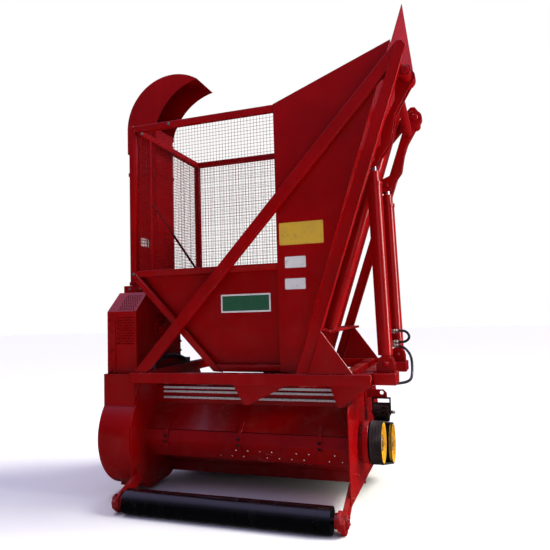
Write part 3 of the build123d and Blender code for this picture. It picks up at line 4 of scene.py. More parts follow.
import bmesh
import bpy
import numpy as np
from mathutils import Matrix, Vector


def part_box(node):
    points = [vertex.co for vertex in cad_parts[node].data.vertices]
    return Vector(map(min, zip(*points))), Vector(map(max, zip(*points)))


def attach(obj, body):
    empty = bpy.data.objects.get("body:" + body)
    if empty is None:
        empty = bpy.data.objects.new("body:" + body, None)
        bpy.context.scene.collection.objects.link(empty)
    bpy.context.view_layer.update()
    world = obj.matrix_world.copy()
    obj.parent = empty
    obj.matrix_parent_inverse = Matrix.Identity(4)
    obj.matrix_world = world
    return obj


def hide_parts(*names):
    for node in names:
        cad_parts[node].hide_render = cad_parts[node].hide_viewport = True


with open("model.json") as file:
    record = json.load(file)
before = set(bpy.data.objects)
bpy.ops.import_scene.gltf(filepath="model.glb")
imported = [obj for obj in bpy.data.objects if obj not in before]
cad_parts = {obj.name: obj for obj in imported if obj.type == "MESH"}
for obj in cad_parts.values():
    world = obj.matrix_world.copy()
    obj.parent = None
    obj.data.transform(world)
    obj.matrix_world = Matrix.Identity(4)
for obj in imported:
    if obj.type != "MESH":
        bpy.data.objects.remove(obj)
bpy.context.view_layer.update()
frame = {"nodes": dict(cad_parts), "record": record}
NODES = frame["nodes"]
X, Y, Z = np.eye(3)


# ---- camera, stage and light -------------------------------------------------------------


CAMERA_PLACE = (1.4723, -4.2631, 1.4161)
CAMERA_TURN = (93.926, 1.6005, 18.616)     # degrees about X, Y and Z
CAMERA_LENS = 34.96
CAMERA_SENSOR = 36.0
CAMERA_SHIFT = (0.0032, 0.0042)
CAMERA_REACH = 200.0


def place_camera():
    """Eye level behind the machine's right rear corner."""
    data = bpy.data.cameras.new("camera")
    data.lens = CAMERA_LENS
    data.sensor_width = CAMERA_SENSOR
    data.shift_x, data.shift_y = CAMERA_SHIFT
    data.clip_end = CAMERA_REACH
    camera = bpy.data.objects.new("camera", data)
    camera.location = CAMERA_PLACE
    camera.rotation_euler = [math.radians(a) for a in CAMERA_TURN]
    bpy.context.collection.objects.link(camera)
    bpy.context.scene.camera = camera


WARM = (1.0, 0.97, 0.94)
KEY = {"energy": 3.6, "width": 24.0, "turn": (-14.0, 50.0), "tint": (1.0, 0.965, 0.92)}   # degrees
AREA_LIGHTS = (              # name, place, aim, size, watts, tint, whether reflections show it
    ("high_soft_box", (-3.0, -1.2, 8.0), (0.0, 0.3, 1.2), (3.2, 3.2), 150.0, WARM, False),
    ("right_soft_box", (7.6, -0.9, 3.2), (0.5, 0.0, 1.3), (1.6, 5.0), 430.0, WARM, True),
    ("rear_fill", (3.4, -6.5, 2.6), (0.1, 0.0, 1.4), (3.0, 3.0), 14.0, (0.94, 0.96, 1.0), True),
)
SEEN_SKY = (1.0, 1.0, 1.0, 1.0)
SHED = (                     # height on the sphere of directions, colour there
    (0.05, (0.012, 0.012, 0.014, 1.0)),
    (0.88, (0.62, 0.56, 1.0, 1.0)),
    (0.45, (0.10, 0.095, 0.15, 1.0)),      # added between the ramp's own two
)


def area_light(name, place, aim, size, power, tint, mirrored):
    """Rectangular light at place that faces aim."""
    data = bpy.data.lights.new(name, "AREA")
    data.shape = "RECTANGLE"
    data.size, data.size_y = size
    data.energy = power
    data.color = tint
    lamp = bpy.data.objects.new(name, data)
    ahead = np.array(aim, float) - np.array(place, float)
    ahead /= np.linalg.norm(ahead)
    side = np.cross(ahead, Z)
    side /= np.linalg.norm(side)
    up = np.cross(side, ahead)
    turn = np.eye(4)
    turn[:3, 0], turn[:3, 1], turn[:3, 2], turn[:3, 3] = side, up, -ahead, place
    lamp.matrix_world = Matrix(turn.tolist())
    lamp.visible_glossy = mirrored
    bpy.context.collection.objects.link(lamp)


def key_light():
    """One wide soft sun from the right."""
    key = bpy.data.lights.new("soft_key", "SUN")
    key.energy = KEY["energy"]
    key.angle = math.radians(KEY["width"])
    key.color = KEY["tint"]
    lamp = bpy.data.objects.new("soft_key", key)
    lamp.rotation_euler = (*(math.radians(a) for a in KEY["turn"]), 0.0)
    bpy.context.collection.objects.link(lamp)


def studio_world():
    """White where the camera sees it; otherwise a lilac ceiling that fades to a dark wall."""
    world = bpy.data.worlds.new("studio")
    bpy.context.scene.world = world
    world.use_nodes = True
    tree = world.node_tree
    tree.nodes.clear()
    out = tree.nodes.new("ShaderNodeOutputWorld")
    seen = tree.nodes.new("ShaderNodeBackground")
    seen.inputs["Color"].default_value = SEEN_SKY
    seen.inputs["Strength"].default_value = 1.0
    shed = tree.nodes.new("ShaderNodeBackground")
    shed.inputs["Strength"].default_value = 1.0
    way = tree.nodes.new("ShaderNodeTexCoord")
    split = tree.nodes.new("ShaderNodeSeparateXYZ")
    ramp = tree.nodes.new("ShaderNodeValToRGB")
    ramp.color_ramp.interpolation = "EASE"
    stops = ramp.color_ramp.elements
    for stop, (height, colour) in zip(stops, SHED):
        stop.position = height
        stop.color = colour
    middle_height, middle_colour = SHED[-1]
    stops.new(middle_height).color = middle_colour
    path = tree.nodes.new("ShaderNodeLightPath")
    mix = tree.nodes.new("ShaderNodeMixShader")
    join = tree.links.new
    join(way.outputs["Generated"], split.inputs[0])
    join(split.outputs["Z"], ramp.inputs["Fac"])
    join(ramp.outputs["Color"], shed.inputs["Color"])
    join(path.outputs["Is Camera Ray"], mix.inputs["Fac"])
    join(shed.outputs[0], mix.inputs[1])
    join(seen.outputs[0], mix.inputs[2])
    join(mix.outputs[0], out.inputs["Surface"])


def light_studio():
    """One wide soft key, three area lights and the world."""
    key_light()
    for light in AREA_LIGHTS:
        area_light(*light)
    studio_world()


# ---- node recipes ------------------------------------------------------------------------


class Recipe:
    """A material being built: short calls that add nodes and join them."""

    def __init__(self, name):
        self.material = bpy.data.materials.new(name)
        self.material.use_nodes = True
        self.tree = self.material.node_tree
        self.tree.nodes.clear()
        self.shader = self.tree.nodes.new("ShaderNodeBsdfPrincipled")
        out = self.tree.nodes.new("ShaderNodeOutputMaterial")
        self.link(self.shader.outputs[0], out.inputs["Surface"])
        self.coords = self.tree.nodes.new("ShaderNodeTexCoord").outputs["Object"]
        self.split = self.tree.nodes.new("ShaderNodeSeparateXYZ")
        self.link(self.coords, self.split.inputs[0])
        self.facing = self.tree.nodes.new("ShaderNodeNewGeometry").outputs["Normal"]
        self.heights = []

    def link(self, source, target):
        self.tree.links.new(source, target)

    def put(self, value, socket):
        if isinstance(value, bpy.types.NodeSocket):
            self.link(value, socket)
        else:
            socket.default_value = value

    def noise(self, scale, detail=3.0, stretch=(1.0, 1.0, 1.0), rough=0.55):
        node = self.tree.nodes.new("ShaderNodeTexNoise")
        node.inputs["Scale"].default_value = scale
        node.inputs["Detail"].default_value = detail
        node.inputs["Roughness"].default_value = rough
        if stretch != (1.0, 1.0, 1.0):
            turn = self.tree.nodes.new("ShaderNodeMapping")
            turn.inputs["Scale"].default_value = stretch
            self.link(self.coords, turn.inputs["Vector"])
            self.link(turn.outputs[0], node.inputs["Vector"])
        else:
            self.link(self.coords, node.inputs["Vector"])
        return node.outputs["Fac"]

    def cells(self, scale):
        """Distance to the nearest of many scattered points."""
        node = self.tree.nodes.new("ShaderNodeTexVoronoi")
        node.feature = "F1"
        node.inputs["Scale"].default_value = scale
        self.link(self.coords, node.inputs["Vector"])
        return node.outputs["Distance"]

    def band(self, value, low, high, start=0.0, end=1.0):
        """value going smoothly from start to end between low and high."""
        node = self.tree.nodes.new("ShaderNodeMapRange")
        node.interpolation_type = "SMOOTHSTEP"
        for key, number in (("From Min", low), ("From Max", high), ("To Min", start), ("To Max", end)):
            node.inputs[key].default_value = number
        self.link(value, node.inputs["Value"])
        return node.outputs[0]

    def math(self, rule, a, b=0.0, clamp=True):
        node = self.tree.nodes.new("ShaderNodeMath")
        node.operation = rule
        node.use_clamp = clamp and rule in ("ADD", "SUBTRACT")
        self.put(a, node.inputs[0])
        self.put(b, node.inputs[1])
        return node.outputs[0]

    def mix(self, share, a, b):
        node = self.tree.nodes.new("ShaderNodeMix")
        node.data_type = "RGBA"
        self.put(share, node.inputs["Factor"])
        for value, key in ((a, "A"), (b, "B")):
            socket = [s for s in node.inputs if s.name == key and s.type == "RGBA"][0]
            self.put(value if isinstance(value, bpy.types.NodeSocket) else (*value, 1.0), socket)
        return [s for s in node.outputs if s.type == "RGBA"][0]

    def axis(self, letter):
        """Place along an axis of the frame."""
        return self.split.outputs[letter]

    def shifted(self, letter, start):
        """Distance along an axis from start."""
        return self.math("ABSOLUTE", self.math("ADD", self.axis(letter), -start, clamp=False))

    def upward(self):
        """How much the surface faces the sky, 0 to 1."""
        node = self.tree.nodes.new("ShaderNodeSeparateXYZ")
        self.link(self.facing, node.inputs[0])
        return node.outputs["Z"]

    def edge(self, radius):
        """Share of each point that lies on a sharp edge, and the eased normal there."""
        eased = self.tree.nodes.new("ShaderNodeBevel")
        eased.samples = 4
        eased.inputs["Radius"].default_value = radius
        dot = self.tree.nodes.new("ShaderNodeVectorMath")
        dot.operation = "DOT_PRODUCT"
        self.link(eased.outputs[0], dot.inputs[0])
        self.link(self.facing, dot.inputs[1])
        return self.band(dot.outputs["Value"], 0.985, 0.80), eased.outputs[0]

    def bump(self, height, distance, strength=1.0):
        self.heights.append((height, distance, strength))

    def finish(self, color, rough, normal=None, **sockets):
        if not isinstance(color, bpy.types.NodeSocket):
            color = (*color, 1.0)
        self.put(color, self.shader.inputs["Base Color"])
        self.put(rough, self.shader.inputs["Roughness"])
        last = normal
        for height, distance, strength in self.heights:
            node = self.tree.nodes.new("ShaderNodeBump")
            node.inputs["Distance"].default_value = distance
            node.inputs["Strength"].default_value = strength
            self.link(height, node.inputs["Height"])
            if last is not None:
                self.link(last, node.inputs["Normal"])
            last = node.outputs[0]
        if last is not None:
            self.link(last, self.shader.inputs["Normal"])
        for key, value in sockets.items():
            self.put(value, self.shader.inputs[key.replace("_", " ")])
        return self.material


# ---- finishes ----------------------------------------------------------------------------


def enamel(name, deep, bright):
    """Gloss enamel: slow shade drift, orange peel, dust low down and on ledges, worn edges, chips."""
    r = Recipe(name)
    edge, eased = r.edge(0.0035)
    drift = r.noise(1.7, 4.0)
    paint = r.mix(r.band(drift, 0.30, 0.72), deep, bright)
    streak = r.band(r.noise(14.0, 4.0, (1.0, 1.0, 0.10)), 0.52, 0.75)
    paint = r.mix(r.math("MULTIPLY", streak, 0.14), paint, tuple(0.45 * c for c in deep))
    ledge = r.band(r.upward(), 0.55, 0.98)
    low = r.band(r.axis("Z"), 0.55, 0.05)
    cloud = r.band(r.noise(5.5, 6.0), 0.40, 0.74)
    lying = r.math("ADD", r.math("MULTIPLY", ledge, 0.16), r.math("MULTIPLY", low, 0.08))
    dust = r.math("MULTIPLY", lying, cloud)
    paint = r.mix(dust, paint, (0.33, 0.22, 0.18))
    scuff = r.band(r.noise(60.0, 5.0), 0.50, 0.70)
    bare = r.math("MULTIPLY", edge, r.math("MULTIPLY", scuff, 0.20))
    chips = r.math("MULTIPLY", r.band(r.cells(26.0), 0.075, 0.045), r.band(r.noise(2.3, 2.0), 0.62, 0.70))
    bare = r.math("MAXIMUM", bare, r.math("MULTIPLY", chips, 0.8))
    paint = r.mix(bare, paint, (0.16, 0.13, 0.12))
    rough = r.band(r.noise(9.0, 5.0), 0.25, 0.80, 0.14, 0.28)
    rough = r.math("ADD", rough, r.math("MULTIPLY", dust, 0.9))
    rough = r.math("ADD", rough, r.math("MULTIPLY", bare, 0.25))
    r.bump(r.noise(210.0, 2.0), 0.0006, 0.22)
    r.bump(r.noise(6.0, 2.0), 0.008, 0.12)
    r.bump(r.math("SUBTRACT", 1.0, bare), 0.0005, 0.5)
    return r.finish(paint, rough, eased, Coat_Weight=0.2, Coat_Roughness=0.06, Specular_IOR_Level=0.28)


def steel(name, light, dark, rust=0.35, brush=(1.0, 1.0, 14.0)):
    """Bare steel: brushed grain, oil darkening and thin rust in patches."""
    r = Recipe(name)
    grain = r.noise(90.0, 4.0, brush)
    tone = r.mix(r.band(grain, 0.35, 0.68), dark, light)
    patch = r.math("MULTIPLY", r.band(r.noise(13.0, 6.0), 0.52, 0.70), rust)
    tone = r.mix(patch, tone, (0.17, 0.068, 0.030))
    rough = r.math("ADD", r.band(grain, 0.30, 0.70, 0.24, 0.42), r.math("MULTIPLY", patch, 0.5))
    r.bump(grain, 0.0004, 0.25)
    r.bump(patch, 0.0006, 0.4)
    return r.finish(tone, rough, Metallic=0.92)


def casting(name, tone, rough=0.5, metallic=0.0):
    """Painted sand casting: pebbled skin, darker hollows and a little dust."""
    r = Recipe(name)
    pebble = r.noise(70.0, 6.0)
    body = r.mix(r.band(pebble, 0.34, 0.72), tuple(0.55 * c for c in tone), tone)
    dust = r.math("MULTIPLY", r.band(r.noise(8.0, 5.0), 0.50, 0.78), 0.35)
    body = r.mix(dust, body, (0.20, 0.16, 0.13))
    r.bump(pebble, 0.0012, 0.5)
    return r.finish(body, r.math("ADD", rough, r.math("MULTIPLY", dust, 0.5)), Metallic=metallic)


def rubber(name, tone, rough=0.62, dusty=0.3):
    """Black rubber: fine moulded grain, greyed where dust settles and where it rubs."""
    r = Recipe(name)
    grain = r.noise(180.0, 4.0)
    patch = r.math("MULTIPLY", r.band(r.noise(11.0, 5.0), 0.46, 0.76), dusty)
    body = r.mix(patch, tone, (0.11, 0.10, 0.09))
    r.bump(grain, 0.0005, 0.4)
    worn = r.band(grain, 0.2, 0.8, rough - 0.08, rough + 0.06)
    return r.finish(body, r.math("ADD", worn, r.math("MULTIPLY", patch, 0.3)))


def roller_black(name):
    """Gloss black drum: soil scuffs that run round it, dried mud near its ends and a clear top streak."""
    r = Recipe(name)
    ring = r.noise(9.0, 6.0, (1.0, 0.12, 0.12))
    scuff = r.band(ring, 0.56, 0.78)
    ends = r.band(r.math("ABSOLUTE", r.axis("X")), 0.50, 0.86)
    near_ends = r.math("ADD", 0.03, r.math("MULTIPLY", ends, 0.22))
    mud = r.math("MULTIPLY", r.band(r.noise(24.0, 8.0), 0.54, 0.70), near_ends)
    body = r.mix(r.math("MULTIPLY", scuff, 0.16), (0.0012, 0.0013, 0.0020), (0.030, 0.029, 0.030))
    body = r.mix(mud, body, (0.045, 0.030, 0.026))
    rough = r.math("ADD", r.band(ring, 0.30, 0.80, 0.16, 0.34), r.math("MULTIPLY", mud, 0.8))
    r.bump(r.noise(40.0, 4.0), 0.0010, 0.16)
    r.bump(mud, 0.0015, 0.5)
    return r.finish(body, rough, Coat_Weight=0.3, Coat_Roughness=0.12)


def chrome(name):
    """Hard chrome rod: near mirror, faint lengthwise polish and an oil film."""
    r = Recipe(name)
    polish = r.noise(160.0, 3.0, (1.0, 1.0, 0.06))
    film = r.math("MULTIPLY", r.band(r.noise(7.0, 4.0), 0.48, 0.72), 0.4)
    tone = r.mix(film, (0.62, 0.63, 0.65), (0.34, 0.31, 0.27))
    r.bump(polish, 0.0002, 0.2)
    rough = r.math("ADD", r.band(polish, 0.3, 0.7, 0.06, 0.13), r.math("MULTIPLY", film, 0.2))
    return r.finish(tone, rough, Metallic=1.0)


def print_film(name, tone):
    """Blank sticker film: slightly faded towards one side, dusty, with a faint ripple."""
    r = Recipe(name)
    fade = r.band(r.noise(6.0, 4.0), 0.35, 0.75)
    body = r.mix(r.math("MULTIPLY", fade, 0.5), tone, tuple(0.72 * c + 0.02 for c in tone))
    grime = r.math("MULTIPLY", r.band(r.noise(45.0, 6.0), 0.56, 0.72), 0.35)
    body = r.mix(grime, body, (0.20, 0.13, 0.10))
    r.bump(r.noise(30.0, 3.0), 0.0006, 0.2)
    return r.finish(body, r.math("ADD", 0.32, r.math("MULTIPLY", grime, 0.4)))


DISH_EDGE = (0.007, 0.009)   # from a pulley's rim in to where the enamel starts and is full
DISH_FACE = (0.0275, 0.0268) # from its right face in to where the enamel starts and is full


def pulley_finish(name):
    """Black machined rim with oily grooves; the whole dish inside the thin rim is rubbed yellow enamel."""
    r = Recipe(name)
    grain = r.noise(120.0, 4.0, (12.0, 1.0, 1.0))
    rim = r.mix(r.band(grain, 0.4, 0.7), (0.0035, 0.0035, 0.0042), (0.026, 0.024, 0.023))
    sheen = r.band(r.noise(9.0, 3.0), 0.3, 0.7)
    yellow = r.mix(sheen, (0.62, 0.33, 0.012), (0.80, 0.48, 0.022))
    dirt = r.math("MULTIPLY", r.band(r.noise(38.0, 6.0), 0.48, 0.70), 0.5)
    yellow = r.mix(dirt, yellow, (0.16, 0.085, 0.018))
    inside = 0.0
    for node in ("rotor_pulley", "auger_pulley"):
        lo, hi = (np.array(v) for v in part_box(node))
        centre = (lo + hi) / 2.0
        radius = (hi[2] - lo[2]) / 2.0
        over = r.math("POWER", r.shifted("Y", centre[1]), 2.0)
        away = r.math("ADD", over, r.math("POWER", r.shifted("Z", centre[2]), 2.0))
        dish = r.band(away, (radius - DISH_EDGE[0]) ** 2, (radius - DISH_EDGE[1]) ** 2)
        inside = r.math("MAXIMUM", dish, inside)
    right = r.band(r.axis("X"), hi[0] - DISH_FACE[0], hi[0] - DISH_FACE[1])
    face = r.math("MULTIPLY", inside, right)
    r.bump(grain, 0.0004, 0.3)
    return r.finish(r.mix(face, rim, yellow), r.band(grain, 0.3, 0.7, 0.34, 0.50), Specular_IOR_Level=0.28)


def floor_finish():
    """Pale floor with a faint drift of shade."""
    r = Recipe("pale_floor")
    tone = r.mix(r.band(r.noise(0.8, 4.0), 0.3, 0.7), (0.94, 0.97, 0.89), (0.95, 0.98, 0.91))
    r.bump(r.noise(25.0, 4.0), 0.001, 0.1)
    return r.finish(tone, 0.8)


DEEP_RED = (0.215, 0.0006, 0.0012)
BRIGHT_RED = (0.290, 0.0010, 0.0018)
FINISH = {
    "red_paint": enamel("red_enamel", DEEP_RED, BRIGHT_RED),
    "bare_steel": steel("worn_steel", (0.46, 0.45, 0.43), (0.24, 0.23, 0.22)),
    "dark_steel": steel("forged_steel", (0.10, 0.095, 0.090), (0.040, 0.037, 0.035), 0.6, (1.0, 1.0, 1.0)),
    "cast_housing": casting("cast_housing", (0.075, 0.075, 0.080)),
    "belt_rubber": rubber("belt_rubber", (0.012, 0.012, 0.013), 0.66, 0.45),
    "hose_rubber": rubber("hose_rubber", (0.010, 0.010, 0.012), 0.30, 0.14),
    "black_gloss": roller_black("roller_enamel"),
    "pulley_yellow": pulley_finish("pulley_enamel"),
    "label_paint": print_film("white_film", (0.70, 0.68, 0.66)),
    "rod_chrome": chrome("chrome_rod"),
}
YELLOW_FILM = print_film("yellow_film", (0.66, 0.40, 0.035))
GREEN_FILM = print_film("green_film", (0.015, 0.10, 0.045))
ZINC = steel("zinc_plating", (0.56, 0.55, 0.50), (0.36, 0.34, 0.30), 0.12, (1.0, 1.0, 1.0))
# Hub tone: the pulley's yellow darkened to brown, painted shade of the dish's centre on a yellow hub
HUB_WITH_PAINTED_SHADE = casting("hub_casting_painted_shade", (0.30, 0.155, 0.020), 0.42)
OILY = steel("oily_steel", (0.085, 0.075, 0.070), (0.020, 0.018, 0.018), 0.25, (1.0, 1.0, 1.0))
# Hood ribs: near-white pinkish tone painted in as their bright sky highlight, a painted highlight in place of
# the bars' own colour
PAINTED_HIGHLIGHT_BAR = casting("bar_painted_highlight", (0.86, 0.78, 0.80), 0.30, 0.25)
NODE_FINISH = {"hood_ribs": PAINTED_HIGHLIGHT_BAR, "idler_roller": OILY, "idler_yoke": OILY}

NODE_SLOT = {part["node"]: part["material_slot"] for part in frame["record"]["subparts"]}


def dress_nodes():
    """Gives each CAD node the finish of its material slot, or its own."""
    for name, node in NODES.items():
        finish = NODE_FINISH.get(name, FINISH[NODE_SLOT[name]])
        node.data.materials.clear()
        node.data.materials.append(finish)


# ---- mesh making -------------------------------------------------------------------------


def add_piece(name, points, faces, finish, body, smooth=True, angle=0.6):
    """A mesh object from arrays of points and faces, riding on a body."""
    mesh = bpy.data.meshes.new(name)
    mesh.from_pydata(np.asarray(points, float).tolist(), [], [list(map(int, f)) for f in faces])
    mesh.validate()
    piece = bpy.data.objects.new(name, mesh)
    bpy.context.collection.objects.link(piece)
    mesh.materials.append(finish)
    if smooth:
        mesh.shade_smooth()
        mesh.set_sharp_from_angle(angle=angle)
    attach(piece, body)
    return piece


def frame_of(axis):
    """Two unit vectors square to the axis and to each other."""
    axis = np.asarray(axis, float)
    axis = axis / np.linalg.norm(axis)
    first = np.cross(axis, Z if abs(axis[2]) < 0.9 else X)
    first /= np.linalg.norm(first)
    return axis, first, np.cross(axis, first)


def grid_faces(rows, columns):
    """Quads between neighbouring rings of points; each of the rows is one closed ring."""
    i, j = np.meshgrid(np.arange(rows - 1), np.arange(columns), indexing="ij")
    i1, j1 = i + 1, (j + 1) % columns
    quads = np.stack([i * columns + j, i * columns + j1, i1 * columns + j1, i1 * columns + j], -1)
    return quads.reshape(-1, 4)


def turned_arrays(profile, centre, axis, steps):
    """Point = centre + height x axis + radius x (cos t, sin t) across it; rows follow the profile.

    The profile starts and ends on the axis, where one point closes each end."""
    profile = np.asarray(profile, float)
    axis, first, second = frame_of(axis)
    t = np.linspace(0.0, 2.0 * math.pi, steps, endpoint=False)
    circle = np.cos(t)[:, None] * first + np.sin(t)[:, None] * second
    body = profile[1:-1]
    rows = np.asarray(centre) + body[:, 1, None, None] * axis + body[:, 0, None, None] * circle
    points = rows.reshape(-1, 3)
    ends = np.asarray(centre) + profile[[0, -1], 1][:, None] * axis
    faces = [list(q) for q in grid_faces(len(body), steps)]
    first_pole, last_pole = len(points), len(points) + 1
    k = np.arange(steps)
    faces += [[first_pole, (n + 1) % steps, n] for n in k]
    base = (len(body) - 1) * steps
    faces += [[last_pole, base + n, base + (n + 1) % steps] for n in k]
    return np.vstack([points, ends]), faces


def turned(name, profile, centre, axis, finish, body, steps):
    """One turned piece of its own."""
    points, faces = turned_arrays(profile, centre, axis, steps)
    return add_piece(name, points, faces, finish, body, True, 0.5)


def joined(arrays):
    """Several (points, faces) pairs as one pair."""
    points, faces, count = [], [], 0
    for some_points, some_faces in arrays:
        points.append(some_points)
        faces += [[count + n for n in face] for face in some_faces]
        count += len(some_points)
    return np.vstack(points), faces


BOLT_PROFILES = (            # (radius, height) in halves of the size across flats, and points round each ring
    (((0.0, 0.0), (1.25, 0.0), (1.28, 0.10), (1.20, 0.20), (0.0, 0.20)), 14),
    (((0.0, 0.20), (1.10, 0.20), (1.15, 0.26), (1.15, 0.88), (0.96, 1.00), (0.0, 1.00)), 6),
    (((0.0, 1.00), (0.56, 1.00), (0.56, 1.45), (0.44, 1.58), (0.0, 1.58)), 12),
)


def bolt_arrays(place, axis, across, with_nut):
    """Washer, hexagon and bevelled crown as rings about the axis, with a stud's end where it is a nut."""
    half = across / 2.0
    parts = []
    for profile, steps in BOLT_PROFILES if with_nut else BOLT_PROFILES[:-1]:
        parts.append(turned_arrays([(half * out, half * up) for out, up in profile], place, axis, steps))
    return joined(parts)


def bolts(name, places, across, finish, body, with_nut=False):
    """places is a list of (point on the face, outward direction)."""
    arrays = [bolt_arrays(point, axis, across, with_nut) for point, axis in places]
    points, faces = joined(arrays)
    return add_piece(name, points, faces, finish, body, True, 0.45)


BEAD_SIDES = 8
BEAD_STEP = 0.55             # of the radius, from ring to ring
BEAD_PITCH = 1.7             # of the radius, from ripple to ripple


def bead_arrays(start, end, radius, seed):
    """Ring radius = r (1 + 0.13 sin(2 pi s / pitch) + slow drift), closed by a small cap at each end."""
    start, end = np.asarray(start, float), np.asarray(end, float)
    axis, first, second = frame_of(end - start)
    length = np.linalg.norm(end - start)
    count = max(8, int(length / (BEAD_STEP * radius)))
    s = np.linspace(0.0, 1.0, count)
    ripple = 0.13 * np.sin(2.0 * math.pi * s * length / (BEAD_PITCH * radius) + seed)
    wave = 1.0 + ripple + 0.10 * np.sin(9.0 * s + 2.0 * seed)
    taper = np.clip(np.minimum(s, 1.0 - s) * length / radius, 0.25, 1.0) ** 0.5
    r = radius * wave * taper
    t = np.linspace(0.0, 2.0 * math.pi, BEAD_SIDES, endpoint=False)
    circle = np.cos(t)[:, None] * first + np.sin(t)[:, None] * second
    rows = start + (s * length)[:, None, None] * axis + r[:, None, None] * circle
    points = rows.reshape(-1, 3)
    faces = [list(q) for q in grid_faces(count, BEAD_SIDES)]
    faces.append(list(range(BEAD_SIDES - 1, -1, -1)))
    faces.append(list(range((count - 1) * BEAD_SIDES, count * BEAD_SIDES)))
    return points, faces


def beads(name, lines, radius, body):
    """Weld beads along straight lines, in the paint of what they join."""
    points, faces = joined([bead_arrays(a, b, radius, k) for k, (a, b) in enumerate(lines)])
    return add_piece(name, points, faces, FINISH["red_paint"], body, True, 1.2)


CORNER_STEPS = 4


def slab_arrays(centre, u, v, w, size, corner=0.004):
    """Rounded rectangle size[0] x size[1] in the plane of u and v, thickness size[2] along w."""
    a, b = size[0] / 2.0 - corner, size[1] / 2.0 - corner
    t = np.linspace(0.0, math.pi / 2.0, CORNER_STEPS)
    corners = []
    for k, (sx, sy) in enumerate(((1, 1), (-1, 1), (-1, -1), (1, -1))):
        turn = t + k * math.pi / 2.0
        corners.append(np.stack([sx * a + corner * np.cos(turn), sy * b + corner * np.sin(turn)], -1))
    ring = np.vstack(corners)
    n = len(ring)
    flat = np.asarray(centre) + ring[:, :1] * np.asarray(u) + ring[:, 1:] * np.asarray(v)
    points = np.vstack([flat, flat + size[2] * np.asarray(w)])
    faces = [[k, (k + 1) % n, n + (k + 1) % n, n + k] for k in range(n)]
    return points, faces + [list(range(n - 1, -1, -1)), list(range(n, 2 * n))]


SAME_POINT = 0.00002
SHARP_EDGE = 0.5             # radians between two faces
EASE_SEGMENTS = 2


def separate_solids(bm):
    """Vertices of each separate solid, in the order of the solids' first vertices."""
    bm.verts.index_update()
    bm.edges.index_update()
    left = set(bm.verts)
    solids = []
    for start in bm.verts:
        if start not in left:
            continue
        left.discard(start)
        group, stack = [start], [start]
        while stack:
            for edge in stack.pop().link_edges:
                for vert in edge.verts:
                    if vert in left:
                        left.discard(vert)
                        group.append(vert)
                        stack.append(vert)
        solids.append(group)
    return solids


def eased_copy(name, width):
    """The node's own shape with its doubles merged and its sharp edges rounded, solid by solid."""
    source = NODES[name].data
    bm = bmesh.new()
    bm.from_mesh(source)
    bmesh.ops.remove_doubles(bm, verts=bm.verts, dist=SAME_POINT)
    bmesh.ops.dissolve_limit(bm, angle_limit=0.01, verts=bm.verts, edges=bm.edges)
    chosen = []
    for group in separate_solids(bm):
        edges = {e for v in group for e in v.link_edges if len(e.link_faces) == 2}
        sharp = [e for e in edges if e.calc_face_angle(0.0) > SHARP_EDGE]
        chosen.append(sorted(sharp, key=lambda e: e.index))
    for edges in chosen:
        edges = [e for e in edges if e.is_valid]
        if edges:
            bmesh.ops.bevel(bm, geom=edges, offset=width, offset_type="OFFSET", segments=EASE_SEGMENTS,
                            profile=0.5, affect="EDGES", clamp_overlap=True)
    mesh = bpy.data.meshes.new(name + "_eased")
    bm.to_mesh(mesh)
    bm.free()
    piece = bpy.data.objects.new(name + "_eased", mesh)
    bpy.context.collection.objects.link(piece)
    mesh.materials.append(NODE_FINISH.get(name, FINISH[NODE_SLOT[name]]))
    mesh.shade_smooth()
    even = piece.modifiers.new("even_normals", "WEIGHTED_NORMAL")
    even.keep_sharp = False
    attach(piece, BODY_OF[name])
    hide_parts(name)
    return piece


BODY_OF = {node: body for body, nodes in frame["record"]["behaviour"]["bodies"].items() for node in nodes}
EASED = (                    # node, how far its edges are rounded
    ("base_frame", 0.006), ("mast", 0.006), ("diagonal_braces", 0.005), ("hopper_frame_near", 0.005),
    ("hopper_frame_far", 0.005), ("hopper_rails", 0.005), ("lever_near", 0.002), ("lever_far", 0.002),
    ("foot_brackets", 0.002), ("rail_gussets", 0.0015), ("hitch", 0.003), ("roller_arm_left", 0.003),
    ("roller_arm_right", 0.003), ("left_side_plate", 0.002), ("right_side_plate", 0.002), ("skids", 0.002),
    ("duct_neck", 0.003), ("idler_lug", 0.003), ("idler_yoke", 0.0015), ("duct_spacers", 0.003),
)


# ---- labels and pulley faces -------------------------------------------------------------


def solid_boxes(node):
    """Lowest and highest corner of each separate solid of a node, in the order of their meshes."""
    mesh = NODES[node].data
    bm = bmesh.new()
    bm.from_mesh(mesh)
    bmesh.ops.remove_doubles(bm, verts=bm.verts, dist=SAME_POINT)
    boxes = []
    for group in separate_solids(bm):
        points = np.array([vert.co for vert in group])
        boxes.append((points.min(0), points.max(0)))
    bm.free()
    return boxes


LABEL_CORNER = 0.006
YELLOW_LABEL = 0             # counted from the highest plate down
GREEN_LABEL = 3
GREEN_CORNER = 0.004
GREEN_MARGIN = 0.024         # both sides together
GREEN_FACE = 0.0005


def blank_labels():
    """Round cornered film in place of each plain plate: yellow, green with a margin, and white."""
    for k, (lo, hi) in enumerate(sorted(solid_boxes("label_plates"), key=lambda box: -box[0][2])):
        centre = np.array([(lo[0] + hi[0]) / 2.0, hi[1], (lo[2] + hi[2]) / 2.0])
        size = (hi[0] - lo[0], hi[2] - lo[2], hi[1] - lo[1])
        film = YELLOW_FILM if k == YELLOW_LABEL else FINISH["label_paint"]
        points, faces = slab_arrays(centre, X, Z, -Y, size, LABEL_CORNER)
        add_piece("blank_label_%d" % k, points, faces, film, "hopper")
        if k == GREEN_LABEL:
            front = centre - size[2] * Y
            inner = (size[0] - GREEN_MARGIN, size[1] - GREEN_MARGIN, GREEN_FACE)
            points, faces = slab_arrays(front, X, Z, -Y, inner, GREEN_CORNER)
            add_piece("blank_label_face", points, faces, GREEN_FILM, "hopper")
    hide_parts("label_plates")


